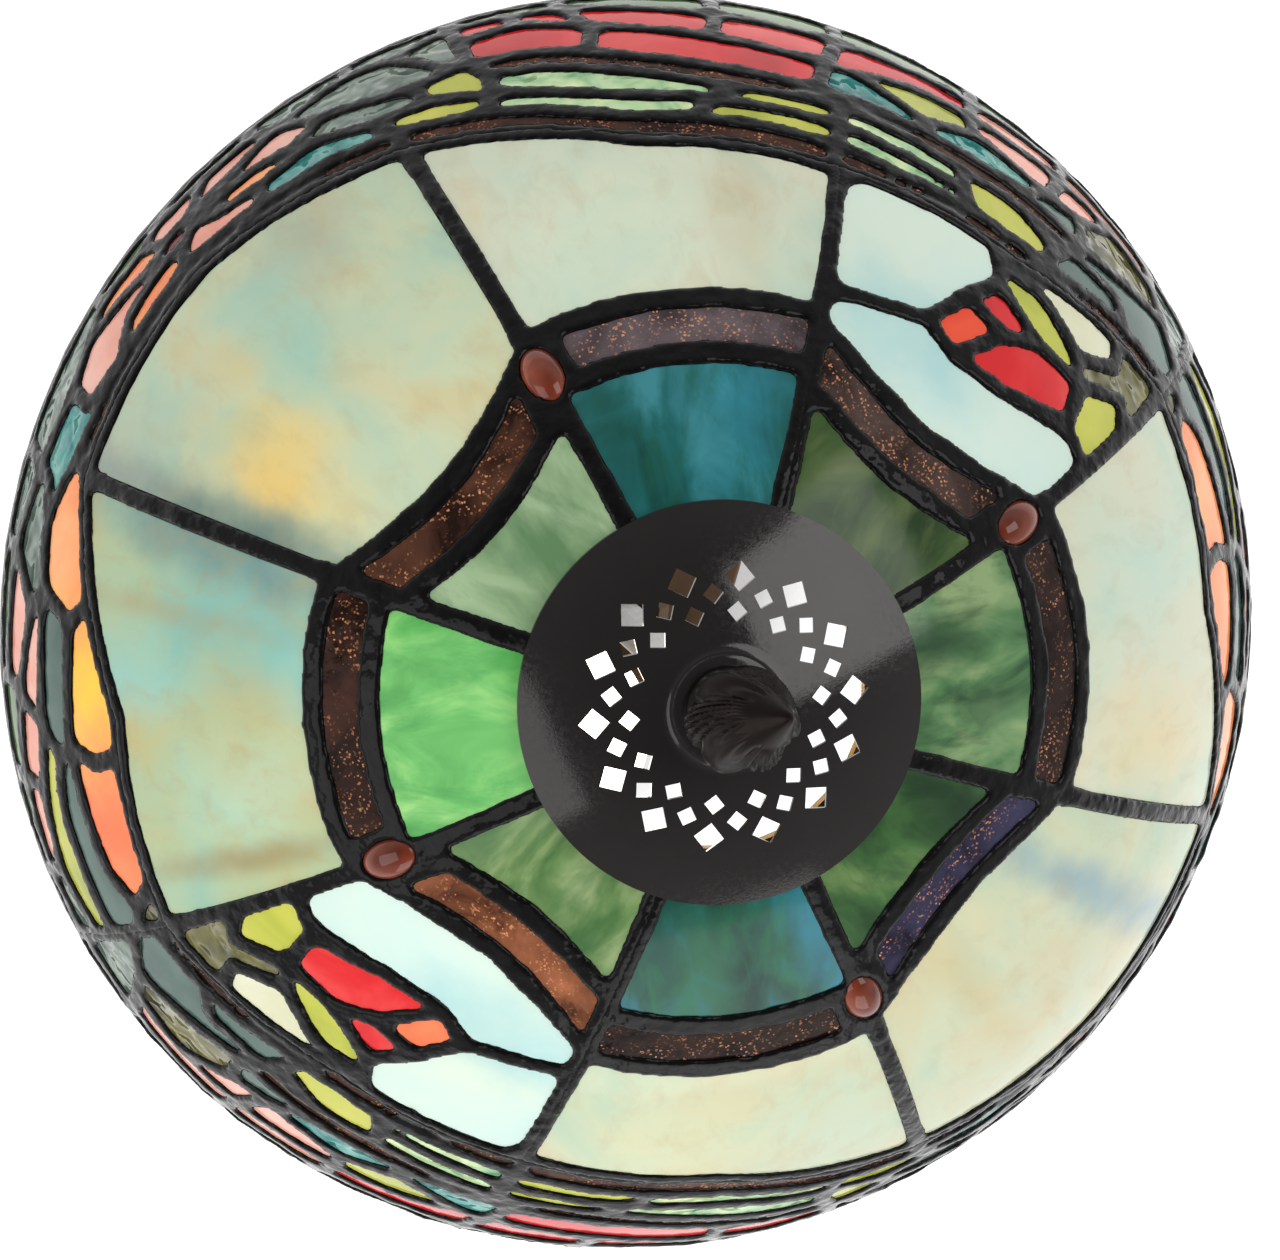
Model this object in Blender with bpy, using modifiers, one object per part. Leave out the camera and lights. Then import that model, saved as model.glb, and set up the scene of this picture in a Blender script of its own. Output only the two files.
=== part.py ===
"""Leaded glass table lamp: a copper-foil glass dome on a turned bronze stand.

Units are metres, +Z is up and the table is at zero height.
"""
import math

import bmesh
import bpy
from mathutils import Matrix, Vector

# Fits
GAP = 0.0003
EDGE_BREAK = 0.0010
MERGE = 0.00002
TURN_STEPS = 24
SMALL_STEPS = 16
TINY_STEPS = 12

# Shade: the outer face of its glass
RIM_HEIGHT = 0.288
DOME_RADIUS = 0.1512
DOME_HEIGHT = 0.125
DOME_POWER = 1.38
RIM_FALL = math.radians(87.5)
GLASS = 0.003
CAME_WIDTH = 0.0052
CAME_PROUD = 0.0016
WEB_STEPS = 32
WEB_RINGS = 7
SECTORS = 8

# Pattern of the shade: plan radii of the lines between the rows of glass, as shares of the dome's
CROWN_TOP = 0.261
ARC_INNER = 0.496
ARC_OUTER = 0.572
BOW_INNER = 0.413
BOW_OUTER = 0.489
BOW_INNER_END = 0.470
BOW_OUTER_END = 0.565
SHOULDER = (0.860, 0.796, 0.784, 0.798, 0.870, 0.917, 0.919, 0.843)
JEWEL_SHARE = 0.522
JEWEL_LONG = 0.0074
JEWEL_WIDE = 0.0048
JEWEL_DEEP = 0.0030

# Skirt rows below the shoulder, as shares of the skirt's height
ROW_STARTS = (0.05, 0.30, 0.58)
ROW_ENDS = (0.25, 0.53, 0.95)
FLOWER_SHARE = 0.50
PETAL_LONG = 0.13
PETAL_WIDE = 0.09
FLOWER_EYE = 0.08

# Bud in two of the main panes: the line below its upper glass as a share of the dome's plan radius,
# then for each oval its degrees from the sector's middle, its share, half length, half width and turn
BUD_SECTORS = (1, 5)
BUD_DIVIDER = 0.625
BUD_SIDE = math.radians(7)
BUD_OVALS = ((-7.0, 0.680, 0.0105, 0.0045, -26), (2.5, 0.658, 0.0050, 0.0026, -50),
             (-1.5, 0.714, 0.0045, 0.0022, -10), (-6.0, 0.757, 0.0080, 0.0022, 20),
             (-19.2, 0.723, 0.0055, 0.0022, 80))

# Vented cap
CAP_RADIUS = 0.0445
CAP_RISE = 0.0090
CAP_SHEET = 0.0012
BOSS_RADIUS = 0.0124
BOSS_RISE = 0.0018
VENT_COUNT = 14
VENT_TURN = math.radians(1.5)
VENT_ROWS = ((0.0287, 0.0047, 0.0), (0.0250, 0.0032, 0.5), (0.0212, 0.0032, 0.0))
RING_WIDTH = 0.0028
RING_HEIGHT = 0.0040

# Finial
FINIAL_RADIUS = 0.0112
FINIAL_HEIGHT = 0.0340
FINIAL_LEAN = 0.0080
FINIAL_LEAN_AZIMUTH = math.radians(20)
FINIAL_LEAVES = 6
FINIAL_CARVING = 0.07
FINIAL_SWIRL = 1.2
FINIAL_PROFILE = ((0.0, 1.0), (0.22, 0.965), (0.34, 0.93), (0.30, 0.90), (0.55, 0.82), (0.80, 0.68),
                  (0.96, 0.52), (1.0, 0.36), (0.92, 0.22), (0.80, 0.14), (0.86, 0.08), (0.86, 0.0))

# Pipe, nuts and shade rest
PIPE_RADIUS = 0.0049
PIPE_BORE = 0.0034
PIPE_INTO_FINIAL = 0.0100
NUT_RADIUS = 0.0085
NUT_HEIGHT = 0.0055
WASHER_RADIUS = 0.0110
WASHER_SHEET = 0.0014
REST_RADIUS = 0.0150
REST_SHEET = 0.0018

# Foot and column
FOOT_RADIUS = 0.0760
FOOT_WALL = 0.0045
FOOT_BAND = 0.0170
FOOT_TOP = 0.0500
HUB_HEIGHT = 0.0270
FOOT_SLOPE = ((1.0, 0.0), (1.08, 0.10), (1.10, 0.28), (1.45, 0.52), (2.1, 0.72), (2.9, 0.83))
FOOT_STEP = (0.84, 0.88)
FOOT_STEP_INNER = 0.86
FOOT_STEP_OUTER = 0.97
FELT_SHEET = 0.0020
FELT_INSET = 0.0020
COLUMN_BASE_RADIUS = 0.0185
COLUMN_WAIST = 0.0080
COLUMN_KNOP = 0.0150
COLUMN_PROFILE = ((0.95, 0.985), (0.95, 0.965), (0.72, 0.95), (0.56, 0.90), (0.47, 0.78), (0.45, 0.62),
                  (0.50, 0.48), (0.62, 0.42), (0.80, 0.37), (0.81, 0.33), (0.70, 0.26), (0.56, 0.20),
                  (0.60, 0.13), (0.78, 0.07), (0.98, 0.045), (1.0, 0.02), (0.96, 0.0))
COLLAR_HEIGHT = 0.0140
COLLAR_RADIUS = 0.0165
BUSHING_RADIUS = 0.0042
BUSHING_BORE = 0.0028
BUSHING_FLANGE = 0.0060
BUSHING_SHEET = 0.0015
BUSHING_AZIMUTH = math.radians(17)

# Socket, bulb and switch
BULB_AZIMUTH = math.radians(199)
BULB_OFFSET = 0.0340
BULB_RADIUS = 0.0240
BULB_LENGTH = 0.0600
BULB_WALL = 0.0010
BULB_SWEEP = math.radians(128)
NECK_SHARE = 0.12
THREAD_RADIUS = 0.0129
THREAD_DEPTH = 0.0007
THREAD_COUNT = 5
THREAD_PITCH = 0.0042
SHELL_WALL = 0.0008
SOCKET_HEIGHT = 0.0420
SOCKET_DROP = 0.0100
SOCKET_BODY_HEIGHT = 0.0150
SOCKET_CAP_HEIGHT = 0.0180
CONTACT_RADIUS = 0.0034
CONTACT_SHEET = 0.0010
ARM_RADIUS = 0.0048
ARM_BEND = 0.0120
CLUSTER_RADIUS = 0.0135
CLUSTER_HEIGHT = 0.0190
CLUSTER_WALL = 0.0025
SHAFT_RADIUS = 0.0016
SHAFT_HEIGHT = 0.0090
KNOB_RADIUS = 0.0052
KNOB_LENGTH = 0.0110
KNOB_RIBS = 10
RIB_SHARE = 0.06

# Derived heights and radii
THREAD_HEIGHT = THREAD_COUNT * THREAD_PITCH
SCREW_SHELL_INNER = THREAD_RADIUS + GAP
SCREW_SHELL_OUTER = SCREW_SHELL_INNER + SHELL_WALL
LINER_OUTER = SCREW_SHELL_OUTER + GAP + SHELL_WALL
SHELL_OUTER = LINER_OUTER + GAP + SHELL_WALL
SOCKET_CAP_RADIUS = SHELL_OUTER + GAP + SHELL_WALL
SOCKET_BASE = RIM_HEIGHT - SOCKET_DROP
CLUSTER_MIDDLE = SOCKET_BASE - SOCKET_CAP_HEIGHT - ARM_BEND + GAP
PIPE_HOLE = PIPE_RADIUS + GAP

SECTOR = 2 * math.pi / SECTORS
HALF_CAME = CAME_WIDTH / 2


def clear_scene():
    """Remove whatever the file holds."""
    for item in list(bpy.data.objects):
        bpy.data.objects.remove(item, do_unlink=True)


def make_collection(name):
    """A collection linked to the scene."""
    collection = bpy.data.collections.new(name)
    bpy.context.scene.collection.children.link(collection)
    return collection


clear_scene()
PARTS = make_collection("leaded_glass_table_lamp")
CUTTERS = make_collection("cutters")


def make_material(name, colour, rough, metal=0.0, glow=0.0):
    """A Principled material."""
    material = bpy.data.materials.new(name)
    material.use_nodes = True
    shader = material.node_tree.nodes["Principled BSDF"]
    shader.inputs["Base Color"].default_value = (*colour, 1.0)
    shader.inputs["Roughness"].default_value = rough
    shader.inputs["Metallic"].default_value = metal
    if glow:
        shader.inputs["Emission Color"].default_value = (*colour, 1.0)
        shader.inputs["Emission Strength"].default_value = glow
    return material


BRONZE = make_material("bronze", (0.055, 0.038, 0.026), 0.45, 0.8)
GUNMETAL = make_material("gunmetal", (0.16, 0.17, 0.19), 0.38, 0.9)
FINIAL_BRONZE = make_material("finial_bronze", (0.030, 0.024, 0.020), 0.40, 0.8)
BRASS = make_material("brass", (0.70, 0.52, 0.25), 0.30, 1.0)
STEEL = make_material("zinc_steel", (0.55, 0.55, 0.54), 0.35, 1.0)
FELT = make_material("felt", (0.03, 0.05, 0.04), 0.95)
BLACK_PLASTIC = make_material("black_plastic", (0.02, 0.02, 0.02), 0.45)
PHENOLIC = make_material("phenolic", (0.05, 0.03, 0.025), 0.5)
FIBRE = make_material("fibre_paper", (0.25, 0.20, 0.14), 0.9)
FROSTED = make_material("frosted_bulb", (1.0, 0.93, 0.80), 0.4, glow=1.0)
SOLDER = make_material("black_solder", (0.035, 0.035, 0.038), 0.38, 0.7)
GLASS_GREEN = make_material("glass_green", (0.10, 0.36, 0.14), 0.15)
GLASS_TEAL = make_material("glass_teal", (0.06, 0.24, 0.24), 0.15)
GLASS_BROWN = make_material("glass_brown", (0.22, 0.11, 0.06), 0.25)
GLASS_CREAM = make_material("glass_cream", (0.74, 0.66, 0.47), 0.18)
GLASS_STREAKED = make_material("glass_streaked", (0.66, 0.56, 0.36), 0.18)
GLASS_OPAL = make_material("glass_opal", (0.50, 0.62, 0.55), 0.18)
GLASS_PALE = make_material("glass_pale", (0.72, 0.76, 0.78), 0.18)
GLASS_AMBER = make_material("glass_amber", (0.40, 0.20, 0.07), 0.08)
GLASS_SKIRT = make_material("glass_skirt", (0.30, 0.36, 0.16), 0.2)


def add_object(name, mesh, material, collection=None):
    """Link a mesh as a named object."""
    made = bpy.data.objects.new(name, mesh)
    (collection or PARTS).objects.link(made)
    if material:
        mesh.materials.append(material)
    return made


def mesh_from(bm, name, smooth):
    """Turn a bmesh into a mesh with its faces outward."""
    bmesh.ops.remove_doubles(bm, verts=bm.verts, dist=MERGE / 2)
    bmesh.ops.recalc_face_normals(bm, faces=bm.faces)
    for face in bm.faces:
        face.smooth = smooth
    mesh = bpy.data.meshes.new(name)
    bm.to_mesh(mesh)
    bm.free()
    return mesh


def turned_mesh(name, profile, steps=TURN_STEPS, shape=None):
    """Spin a closed outline of (radius, height) points about Z."""
    bm = bmesh.new()
    corners = [bm.verts.new((radius, 0.0, height)) for radius, height in profile]
    edges = []
    for place, corner in enumerate(corners):
        following = corners[(place + 1) % len(corners)]
        on_axis = max(corner.co.x, following.co.x) < MERGE
        if not on_axis:
            edges.append(bm.edges.new((corner, following)))
    bmesh.ops.spin(bm, geom=corners + edges, axis=(0, 0, 1), cent=(0, 0, 0),
                   angle=2 * math.pi, steps=steps, use_merge=True)
    bmesh.ops.remove_doubles(bm, verts=bm.verts, dist=MERGE)
    if shape:
        for corner in bm.verts:
            corner.co = shape(corner.co)
    return mesh_from(bm, name, True)


def turned(name, profile, material, place=(0, 0, 0), steps=TURN_STEPS, shape=None):
    """A turned part set down at a place."""
    made = add_object(name, turned_mesh(name, profile, steps, shape), material)
    made.location = place
    return made


def ring_profile(inner, outer, low, high, edge=0.0):
    """Outline of a ring with its outer corners broken by an edge."""
    if not edge:
        return [(outer, high), (outer, low), (inner, low), (inner, high)]
    return [(outer - edge, high), (outer, high - edge), (outer, low + edge),
            (outer - edge, low), (inner, low), (inner, high)]


def cut(target, cutter_mesh, name, place=None):
    """Cut a mesh out of a part."""
    cutter = add_object(name, cutter_mesh, None, CUTTERS)
    cutter.hide_render = True
    cutter.display_type = "WIRE"
    if place:
        cutter.matrix_world = place
    change = target.modifiers.new(name, "BOOLEAN")
    change.operation = "DIFFERENCE"
    change.solver = "EXACT"
    change.object = cutter
    return change


def side_axis(azimuth, place):
    """Frame whose Z points outward along an azimuth from a place."""
    return (Matrix.Translation(place) @ Matrix.Rotation(azimuth, 4, "Z")
            @ Matrix.Rotation(math.pi / 2, 4, "Y"))


def cylinder_mesh(name, radius, low, high, sides=20):
    """A closed cylinder along Z."""
    bm = bmesh.new()
    bmesh.ops.create_cone(bm, cap_ends=True, segments=sides, radius1=radius, radius2=radius,
                          depth=high - low,
                          matrix=Matrix.Translation((0, 0, (low + high) / 2)))
    return mesh_from(bm, name, True)


# Dome geometry: a fall angle of zero is the crown and a right angle the rim
def dome_speed(fall):
    """Length along the meridian for each radian of fall."""
    across = DOME_RADIUS * math.cos(fall)
    down = DOME_HEIGHT * DOME_POWER * math.cos(fall) ** (DOME_POWER - 1) * math.sin(fall)
    return math.hypot(across, down)


def dome_point(azimuth, fall, lift=0.0):
    """Point on the glass's outer face, lifted along the face's normal."""
    across = DOME_RADIUS * math.cos(fall)
    down = DOME_HEIGHT * DOME_POWER * math.cos(fall) ** (DOME_POWER - 1) * math.sin(fall)
    speed = math.hypot(across, down)
    radius = DOME_RADIUS * math.sin(fall) + lift * down / speed
    height = DOME_HEIGHT * math.cos(fall) ** DOME_POWER + lift * across / speed
    return Vector((radius * math.cos(azimuth), radius * math.sin(azimuth), RIM_HEIGHT + height))


def fall_at(share):
    """Fall angle at a share of the dome's plan radius."""
    return math.asin(min(share, math.sin(RIM_FALL)))


def move_down(fall, distance):
    """Fall angle a distance further down the meridian, as far as the rim."""
    return min(fall + distance / dome_speed(fall), RIM_FALL)


def shoulder_share(azimuth):
    """Plan radius of the lower edge of the main panes, which repeats every half turn."""
    share = (azimuth - SECTOR / 2) / (SECTOR / 2)
    first = math.floor(share)
    part = share - first
    low = SHOULDER[first % len(SHOULDER)]
    high = SHOULDER[(first + 1) % len(SHOULDER)]
    return low + (high - low) * part


INNER_LINE = (ARC_INNER, BOW_INNER, BOW_INNER_END)
OUTER_LINE = (ARC_OUTER, BOW_OUTER, BOW_OUTER_END)


def border_line(sector, radii):
    """Border line in one sector: an arc on the even sectors, bowed in on the odd ones."""
    arc, bow, end = radii

    def line(azimuth):
        if sector % 2 == 0:
            return fall_at(arc)
        offset = (azimuth - sector * SECTOR) / (SECTOR / 2)
        return fall_at(bow + (end - bow) * offset * offset)
    return line


def has_jewel(boundary):
    """Whether a boundary between sectors carries a jewel."""
    return boundary % 2 == 1


def patch_faces(bm, start, end, top, bottom, cells, inset, lift):
    """Grid of faces on the dome between two azimuths and two lines."""
    left, right, upper, lower = inset
    grid = bmesh.ops.create_grid(bm, x_segments=cells[0], y_segments=cells[1], size=0.5)
    for corner in grid["verts"]:
        along = corner.co.x + 0.5
        down = 0.5 - corner.co.y
        straight = start + (end - start) * along
        azimuth = straight
        for _ in range(2):
            high = move_down(top(azimuth), upper)
            low = move_down(bottom(azimuth), -lower)
            fall = high + (low - high) * down
            shift = left * (1 - along) - right * along
            azimuth = straight + shift / (DOME_RADIUS * math.sin(fall))
        corner.co = dome_point(azimuth, fall, lift)


def shell(target, depth):
    """Give a sheet its thickness, inward from its outer face."""
    change = target.modifiers.new("thickness", "SOLIDIFY")
    change.thickness = depth
    change.offset = -1.0
    return change


def deep_cutter(change, depth):
    """Give a sheet of cutter faces its depth, in flat triangles so that the cut is clean."""
    shell(change.object, depth)
    change.object.modifiers.new("flat_faces", "TRIANGULATE")


def glass_piece(name, patch, material):
    """A sheet of glass bent to the dome."""
    bm = bmesh.new()
    start, end, top, bottom, cells, inset = patch
    patch_faces(bm, start, end, top, bottom, cells, inset, 0.0)
    made = add_object(name, sheet_mesh(bm, name), material)
    shell(made, GLASS)
    return made


def sheet_mesh(bm, name):
    """Turn an open sheet into a mesh with every face turned away from the lamp's middle."""
    middle = Vector((0, 0, RIM_HEIGHT))
    bm.normal_update()
    for face in bm.faces:
        if face.normal.dot(face.calc_center_median() - middle) < 0:
            face.normal_flip()
        face.smooth = True
    mesh = bpy.data.meshes.new(name)
    bm.to_mesh(mesh)
    bm.free()
    return mesh


def grown(patch, amount):
    """A patch with its edges moved out, for a cutter around it."""
    start, end, top, bottom, cells, inset = patch
    return (start, end, top, bottom, cells, tuple(value - amount for value in inset))


# Shade pattern
def crown_patch(sector):
    """Panel between the cap and the border."""
    middle = sector * SECTOR
    return (middle - SECTOR / 2, middle + SECTOR / 2, lambda azimuth: fall_at(CROWN_TOP),
            border_line(sector, INNER_LINE), (3, 1), (HALF_CAME,) * 4)


def border_patch(sector):
    """Strip of the border, kept clear of the jewels at its ends."""
    middle = sector * SECTOR
    clear = JEWEL_WIDE + HALF_CAME
    left = clear if has_jewel(sector) else HALF_CAME
    right = clear if has_jewel(sector + 1) else HALF_CAME
    return (middle - SECTOR / 2, middle + SECTOR / 2,
            border_line(sector, INNER_LINE), border_line(sector, OUTER_LINE),
            (3, 1), (left, right, HALF_CAME, HALF_CAME))


def shoulder_line(azimuth):
    """Fall of the shoulder by azimuth."""
    return fall_at(shoulder_share(azimuth))


def pane_patch(sector):
    """Main pane between the border and the shoulder."""
    middle = sector * SECTOR
    return (middle - SECTOR / 2, middle + SECTOR / 2, border_line(sector, OUTER_LINE),
            shoulder_line, (4, 2), (HALF_CAME,) * 4)


def skirt_patch(quarter):
    """Skirt glass of two neighbouring sectors, down to the rim."""
    start = SECTOR / 2 + quarter * 2 * SECTOR
    return (start, start + 2 * SECTOR, shoulder_line, lambda azimuth: RIM_FALL, (8, 2),
            (HALF_CAME,) * 4)


def skirt_line(share):
    """Line across the skirt at a share of its height."""
    def line(azimuth):
        high = shoulder_line(azimuth)
        return high + (RIM_FALL - high) * share
    return line


def petal_points(middle, long, wide, turn, sides):
    """Points of an oval about a place on the skirt, as azimuth and fall."""
    azimuth, fall, along, down = middle
    points = []
    for step in range(sides):
        angle = 2 * math.pi * step / sides
        out = long * math.cos(angle)
        over = wide * math.sin(angle)
        across = along + out * math.cos(turn) - over * math.sin(turn)
        below = down + out * math.sin(turn) + over * math.cos(turn)
        place = move_down(fall, below)
        points.append((azimuth + across / (DOME_RADIUS * math.sin(place)), place))
    return points


def oval_window(bm, middle, long, wide, turn, sides=6):
    """One oval face above the skirt."""
    corners = [bm.verts.new(dome_point(azimuth, fall, 3 * CAME_PROUD))
               for azimuth, fall in petal_points(middle, long, wide, turn, sides)]
    bm.faces.new(corners)


def row_windows(bm, sector, row, count):
    """A row of like windows across one sector's skirt."""
    start = (sector - 0.5) * SECTOR
    step = SECTOR / count
    for place in range(count):
        patch_faces(bm, start + place * step, start + (place + 1) * step,
                    skirt_line(ROW_STARTS[row]), skirt_line(ROW_ENDS[row]), (1, 1),
                    (HALF_CAME, HALF_CAME, 0.0, 0.0), 3 * CAME_PROUD)


def flower_windows(bm, sector):
    """A flower with its eye and petals."""
    azimuth = sector * SECTOR
    fall = skirt_line(FLOWER_SHARE)(azimuth)
    height = (RIM_FALL - shoulder_line(azimuth)) * dome_speed(fall)
    eye = FLOWER_EYE * height
    long = PETAL_LONG * height
    wide = PETAL_WIDE * height
    oval_window(bm, (azimuth, fall, 0.0, 0.0), eye, eye, 0.0)
    reach = eye + long + HALF_CAME
    petals = 5
    for petal in range(petals):
        turn = 2 * math.pi * petal / petals
        middle = (azimuth, fall, reach * math.cos(turn), reach * math.sin(turn))
        oval_window(bm, middle, long, wide, turn)


def bud_windows(bm, sector):
    """Windows over a pane with a bud: the glass above and beside the bud, then its petals."""
    middle = sector * SECTOR
    divider = fall_at(BUD_DIVIDER)
    patch_faces(bm, middle - SECTOR / 2, middle + SECTOR / 2, border_line(sector, OUTER_LINE),
                lambda azimuth: divider, (4, 1), (HALF_CAME,) * 4, 3 * CAME_PROUD)
    patch_faces(bm, middle + BUD_SIDE, middle + SECTOR / 2, lambda azimuth: divider, shoulder_line,
                (2, 1), (HALF_CAME,) * 4, 3 * CAME_PROUD)
    for azimuth, share, long, wide, turn in BUD_OVALS:
        place = (middle + math.radians(azimuth), fall_at(share), 0.0, 0.0)
        oval_window(bm, place, long, wide, math.radians(turn))


def came_windows():
    """Windows in the came over the skirt and the buds, which repeat every half turn."""
    bm = bmesh.new()
    for sector in BUD_SECTORS:
        bud_windows(bm, sector)
    for half in range(2):
        first = half * SECTORS // 2
        row_windows(bm, first, 0, 4)
        row_windows(bm, first, 2, 2)
        for row, count in enumerate((1, 3, 2)):
            row_windows(bm, first + 1, row, count)
            row_windows(bm, first + 2, row, count)
        flower_windows(bm, first + 3)
    return sheet_mesh(bm, "came_windows")


CROWN_GLASS = (GLASS_GREEN, GLASS_GREEN, GLASS_TEAL, GLASS_GREEN,
               GLASS_GREEN, GLASS_GREEN, GLASS_TEAL, GLASS_GREEN)
PANE_GLASS = (GLASS_CREAM, GLASS_PALE, GLASS_CREAM, GLASS_OPAL,
              GLASS_STREAKED, GLASS_PALE, GLASS_CREAM, GLASS_CREAM)


def build_glass():
    """The sheets of glass and the hole cutter that fits them."""
    holes = bmesh.new()
    through = CAME_PROUD * 3
    for sector in range(SECTORS):
        rows = (("crown_panel", crown_patch(sector), CROWN_GLASS[sector]),
                ("border_strip", border_patch(sector), GLASS_BROWN),
                ("main_pane", pane_patch(sector), PANE_GLASS[sector]))
        for label, patch, material in rows:
            glass_piece(f"{label}_{sector}", patch, material)
            if label != "main_pane" or sector not in BUD_SECTORS:
                patch_faces(holes, *grown(patch, GAP), through)
    return sheet_mesh(holes, "glass_holes")


def build_skirt():
    """Skirt glass and the cutter that seats it and the bud panes behind the came."""
    seats = bmesh.new()
    for sector in BUD_SECTORS:
        patch_faces(seats, *grown(pane_patch(sector), GAP), GAP)
    for quarter in range(SECTORS // 2):
        patch = skirt_patch(quarter)
        glass_piece(f"skirt_glass_{quarter}", patch, GLASS_SKIRT)
        patch_faces(seats, *grown(patch, GAP), GAP)
    return sheet_mesh(seats, "glass_seats")


def jewel_frame(boundary):
    """Frame on the dome for a jewel: X across, Y down the meridian, Z outward."""
    azimuth = (boundary - 0.5) * SECTOR
    fall = fall_at(JEWEL_SHARE)
    outward = (dome_point(azimuth, fall, GLASS) - dome_point(azimuth, fall)).normalized()
    across = Vector((-math.sin(azimuth), math.cos(azimuth), 0))
    frame = Matrix((across, outward.cross(across), outward)).transposed().to_4x4()
    frame.translation = dome_point(azimuth, fall, -GLASS / 2)
    return frame


def build_jewels():
    """Oval jewels and the cutter for their seats."""
    seats = bmesh.new()
    grow = GAP / JEWEL_WIDE + 1
    for boundary in range(1, SECTORS, 2):
        frame = jewel_frame(boundary)
        bm = bmesh.new()
        size = Matrix.Diagonal((JEWEL_WIDE, JEWEL_LONG, JEWEL_DEEP, 1))
        bmesh.ops.create_uvsphere(bm, u_segments=12, v_segments=6, radius=1.0,
                                  matrix=frame @ size)
        add_object(f"jewel_{boundary // 2}", mesh_from(bm, "jewel", True), GLASS_AMBER)
        seat = Matrix.Diagonal((JEWEL_WIDE * grow, JEWEL_LONG * grow, 1, 1))
        bmesh.ops.create_cone(seats, cap_ends=True, segments=12, radius1=1.0, radius2=1.0,
                              depth=6 * GLASS, matrix=frame @ seat)
    return mesh_from(seats, "jewel_seats", False)


def web_mesh():
    """Blank of the came: a dome a little thicker than the glass on both sides."""
    top = move_down(fall_at(CROWN_TOP), -HALF_CAME)
    falls = [top + (RIM_FALL - top) * ring / WEB_RINGS for ring in range(WEB_RINGS + 1)]
    outer = [dome_point(0, fall, CAME_PROUD) for fall in falls]
    inner = [dome_point(0, fall, -GLASS - CAME_PROUD) for fall in falls]
    profile = [(point.x, point.z) for point in outer + inner[::-1]]
    return turned_mesh("came_web", profile, WEB_STEPS)


def build_shade():
    """Glass, came, rim and jewels of the shade."""
    web = add_object("came_web", web_mesh(), SOLDER)
    web.rotation_euler.z = SECTOR / 2
    change = cut(web, build_glass(), "glass_holes")
    deep_cutter(change, GLASS + CAME_PROUD * 6)
    change = cut(web, build_skirt(), "glass_seats")
    deep_cutter(change, GLASS + CAME_PROUD * 3)
    change = cut(web, came_windows(), "came_windows")
    deep_cutter(change, CAME_PROUD * 4)
    cut(web, build_jewels(), "jewel_seats")
    low = dome_point(0, RIM_FALL, CAME_PROUD)
    inside = dome_point(0, RIM_FALL, -GLASS - CAME_PROUD)
    middle = (low.x + inside.x) / 2
    bead = (low.x - inside.x) / 2
    height = min(low.z, inside.z) - GAP - bead
    points = []
    sides = 6
    for step in range(sides):
        angle = math.pi / 2 - 2 * math.pi * step / sides
        points.append((middle + bead * math.cos(angle), height + bead * math.sin(angle)))
    turned("rim_bead", points, SOLDER, steps=WEB_STEPS)


# Cap, ring and finial
CAP_LIP = dome_point(0, fall_at(CAP_RADIUS / DOME_RADIUS), CAME_PROUD + GAP).z


def cap_under(radius):
    """Height of the cap's underside at a radius."""
    share = radius / CAP_RADIUS
    return CAP_LIP + CAP_RISE * (1 - share * share)


BOSS_TOP = cap_under(BOSS_RADIUS) + CAP_SHEET + BOSS_RISE


def build_cap():
    """Vented cap with square holes set on their corners, and the ring it is soldered to."""
    radii = [CAP_RADIUS * share for share in (1.0, 0.78, 0.42)]
    outside = [(BOSS_RADIUS * 0.94, BOSS_TOP), (BOSS_RADIUS, BOSS_TOP - BOSS_RISE * 0.3)]
    outside += [(BOSS_RADIUS, cap_under(BOSS_RADIUS) + CAP_SHEET)]
    outside += [(radius, cap_under(radius) + CAP_SHEET) for radius in radii[::-1]]
    under = [(radius, cap_under(radius)) for radius in radii]
    profile = outside + under + [(REST_RADIUS, cap_under(REST_RADIUS)),
                                 (PIPE_HOLE, cap_under(REST_RADIUS)), (PIPE_HOLE, BOSS_TOP)]
    cap = turned("vented_cap", profile, GUNMETAL, steps=2 * VENT_COUNT)
    bm = bmesh.new()
    for radius, side, shift in VENT_ROWS:
        for vent in range(VENT_COUNT):
            azimuth = VENT_TURN + (vent + shift) * 2 * math.pi / VENT_COUNT
            place = (radius * math.cos(azimuth), radius * math.sin(azimuth), cap_under(radius))
            bmesh.ops.create_cone(bm, cap_ends=True, segments=4, radius1=side / math.sqrt(2),
                                  radius2=side / math.sqrt(2), depth=CAP_SHEET * 6,
                                  matrix=Matrix.Translation(place)
                                  @ Matrix.Rotation(azimuth, 4, "Z"))
    cut(cap, mesh_from(bm, "vents", False), "vents")
    edge = dome_point(0, move_down(fall_at(CROWN_TOP), -HALF_CAME), -GLASS - CAME_PROUD)
    outer = edge.x - GAP
    high = min(edge.z + RING_HEIGHT / 2, cap_under(outer) - GAP)
    turned("cap_ring", ring_profile(outer - RING_WIDTH, outer, high - RING_HEIGHT, high), BRASS,
           steps=WEB_STEPS)


def finial_shape(co):
    """Carve leaves round the bud and lean its tip."""
    share = max(0.0, min(1.0, co.z / FINIAL_HEIGHT))
    azimuth = math.atan2(co.y, co.x)
    radius = math.hypot(co.x, co.y)
    belly = math.sin(math.pi * share)
    if radius > PIPE_RADIUS + 2 * GAP:
        swirl = FINIAL_LEAVES * (azimuth + FINIAL_SWIRL * share)
        radius *= 1 + FINIAL_CARVING * belly * math.cos(swirl)
    start = PIPE_INTO_FINIAL + 2 * GAP
    rise = max(0.0, co.z - start) / (FINIAL_HEIGHT - start)
    lean = FINIAL_LEAN * rise * rise
    return Vector((radius * math.cos(azimuth) + lean * math.cos(FINIAL_LEAN_AZIMUTH),
                   radius * math.sin(azimuth) + lean * math.sin(FINIAL_LEAN_AZIMUTH), co.z))


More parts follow.
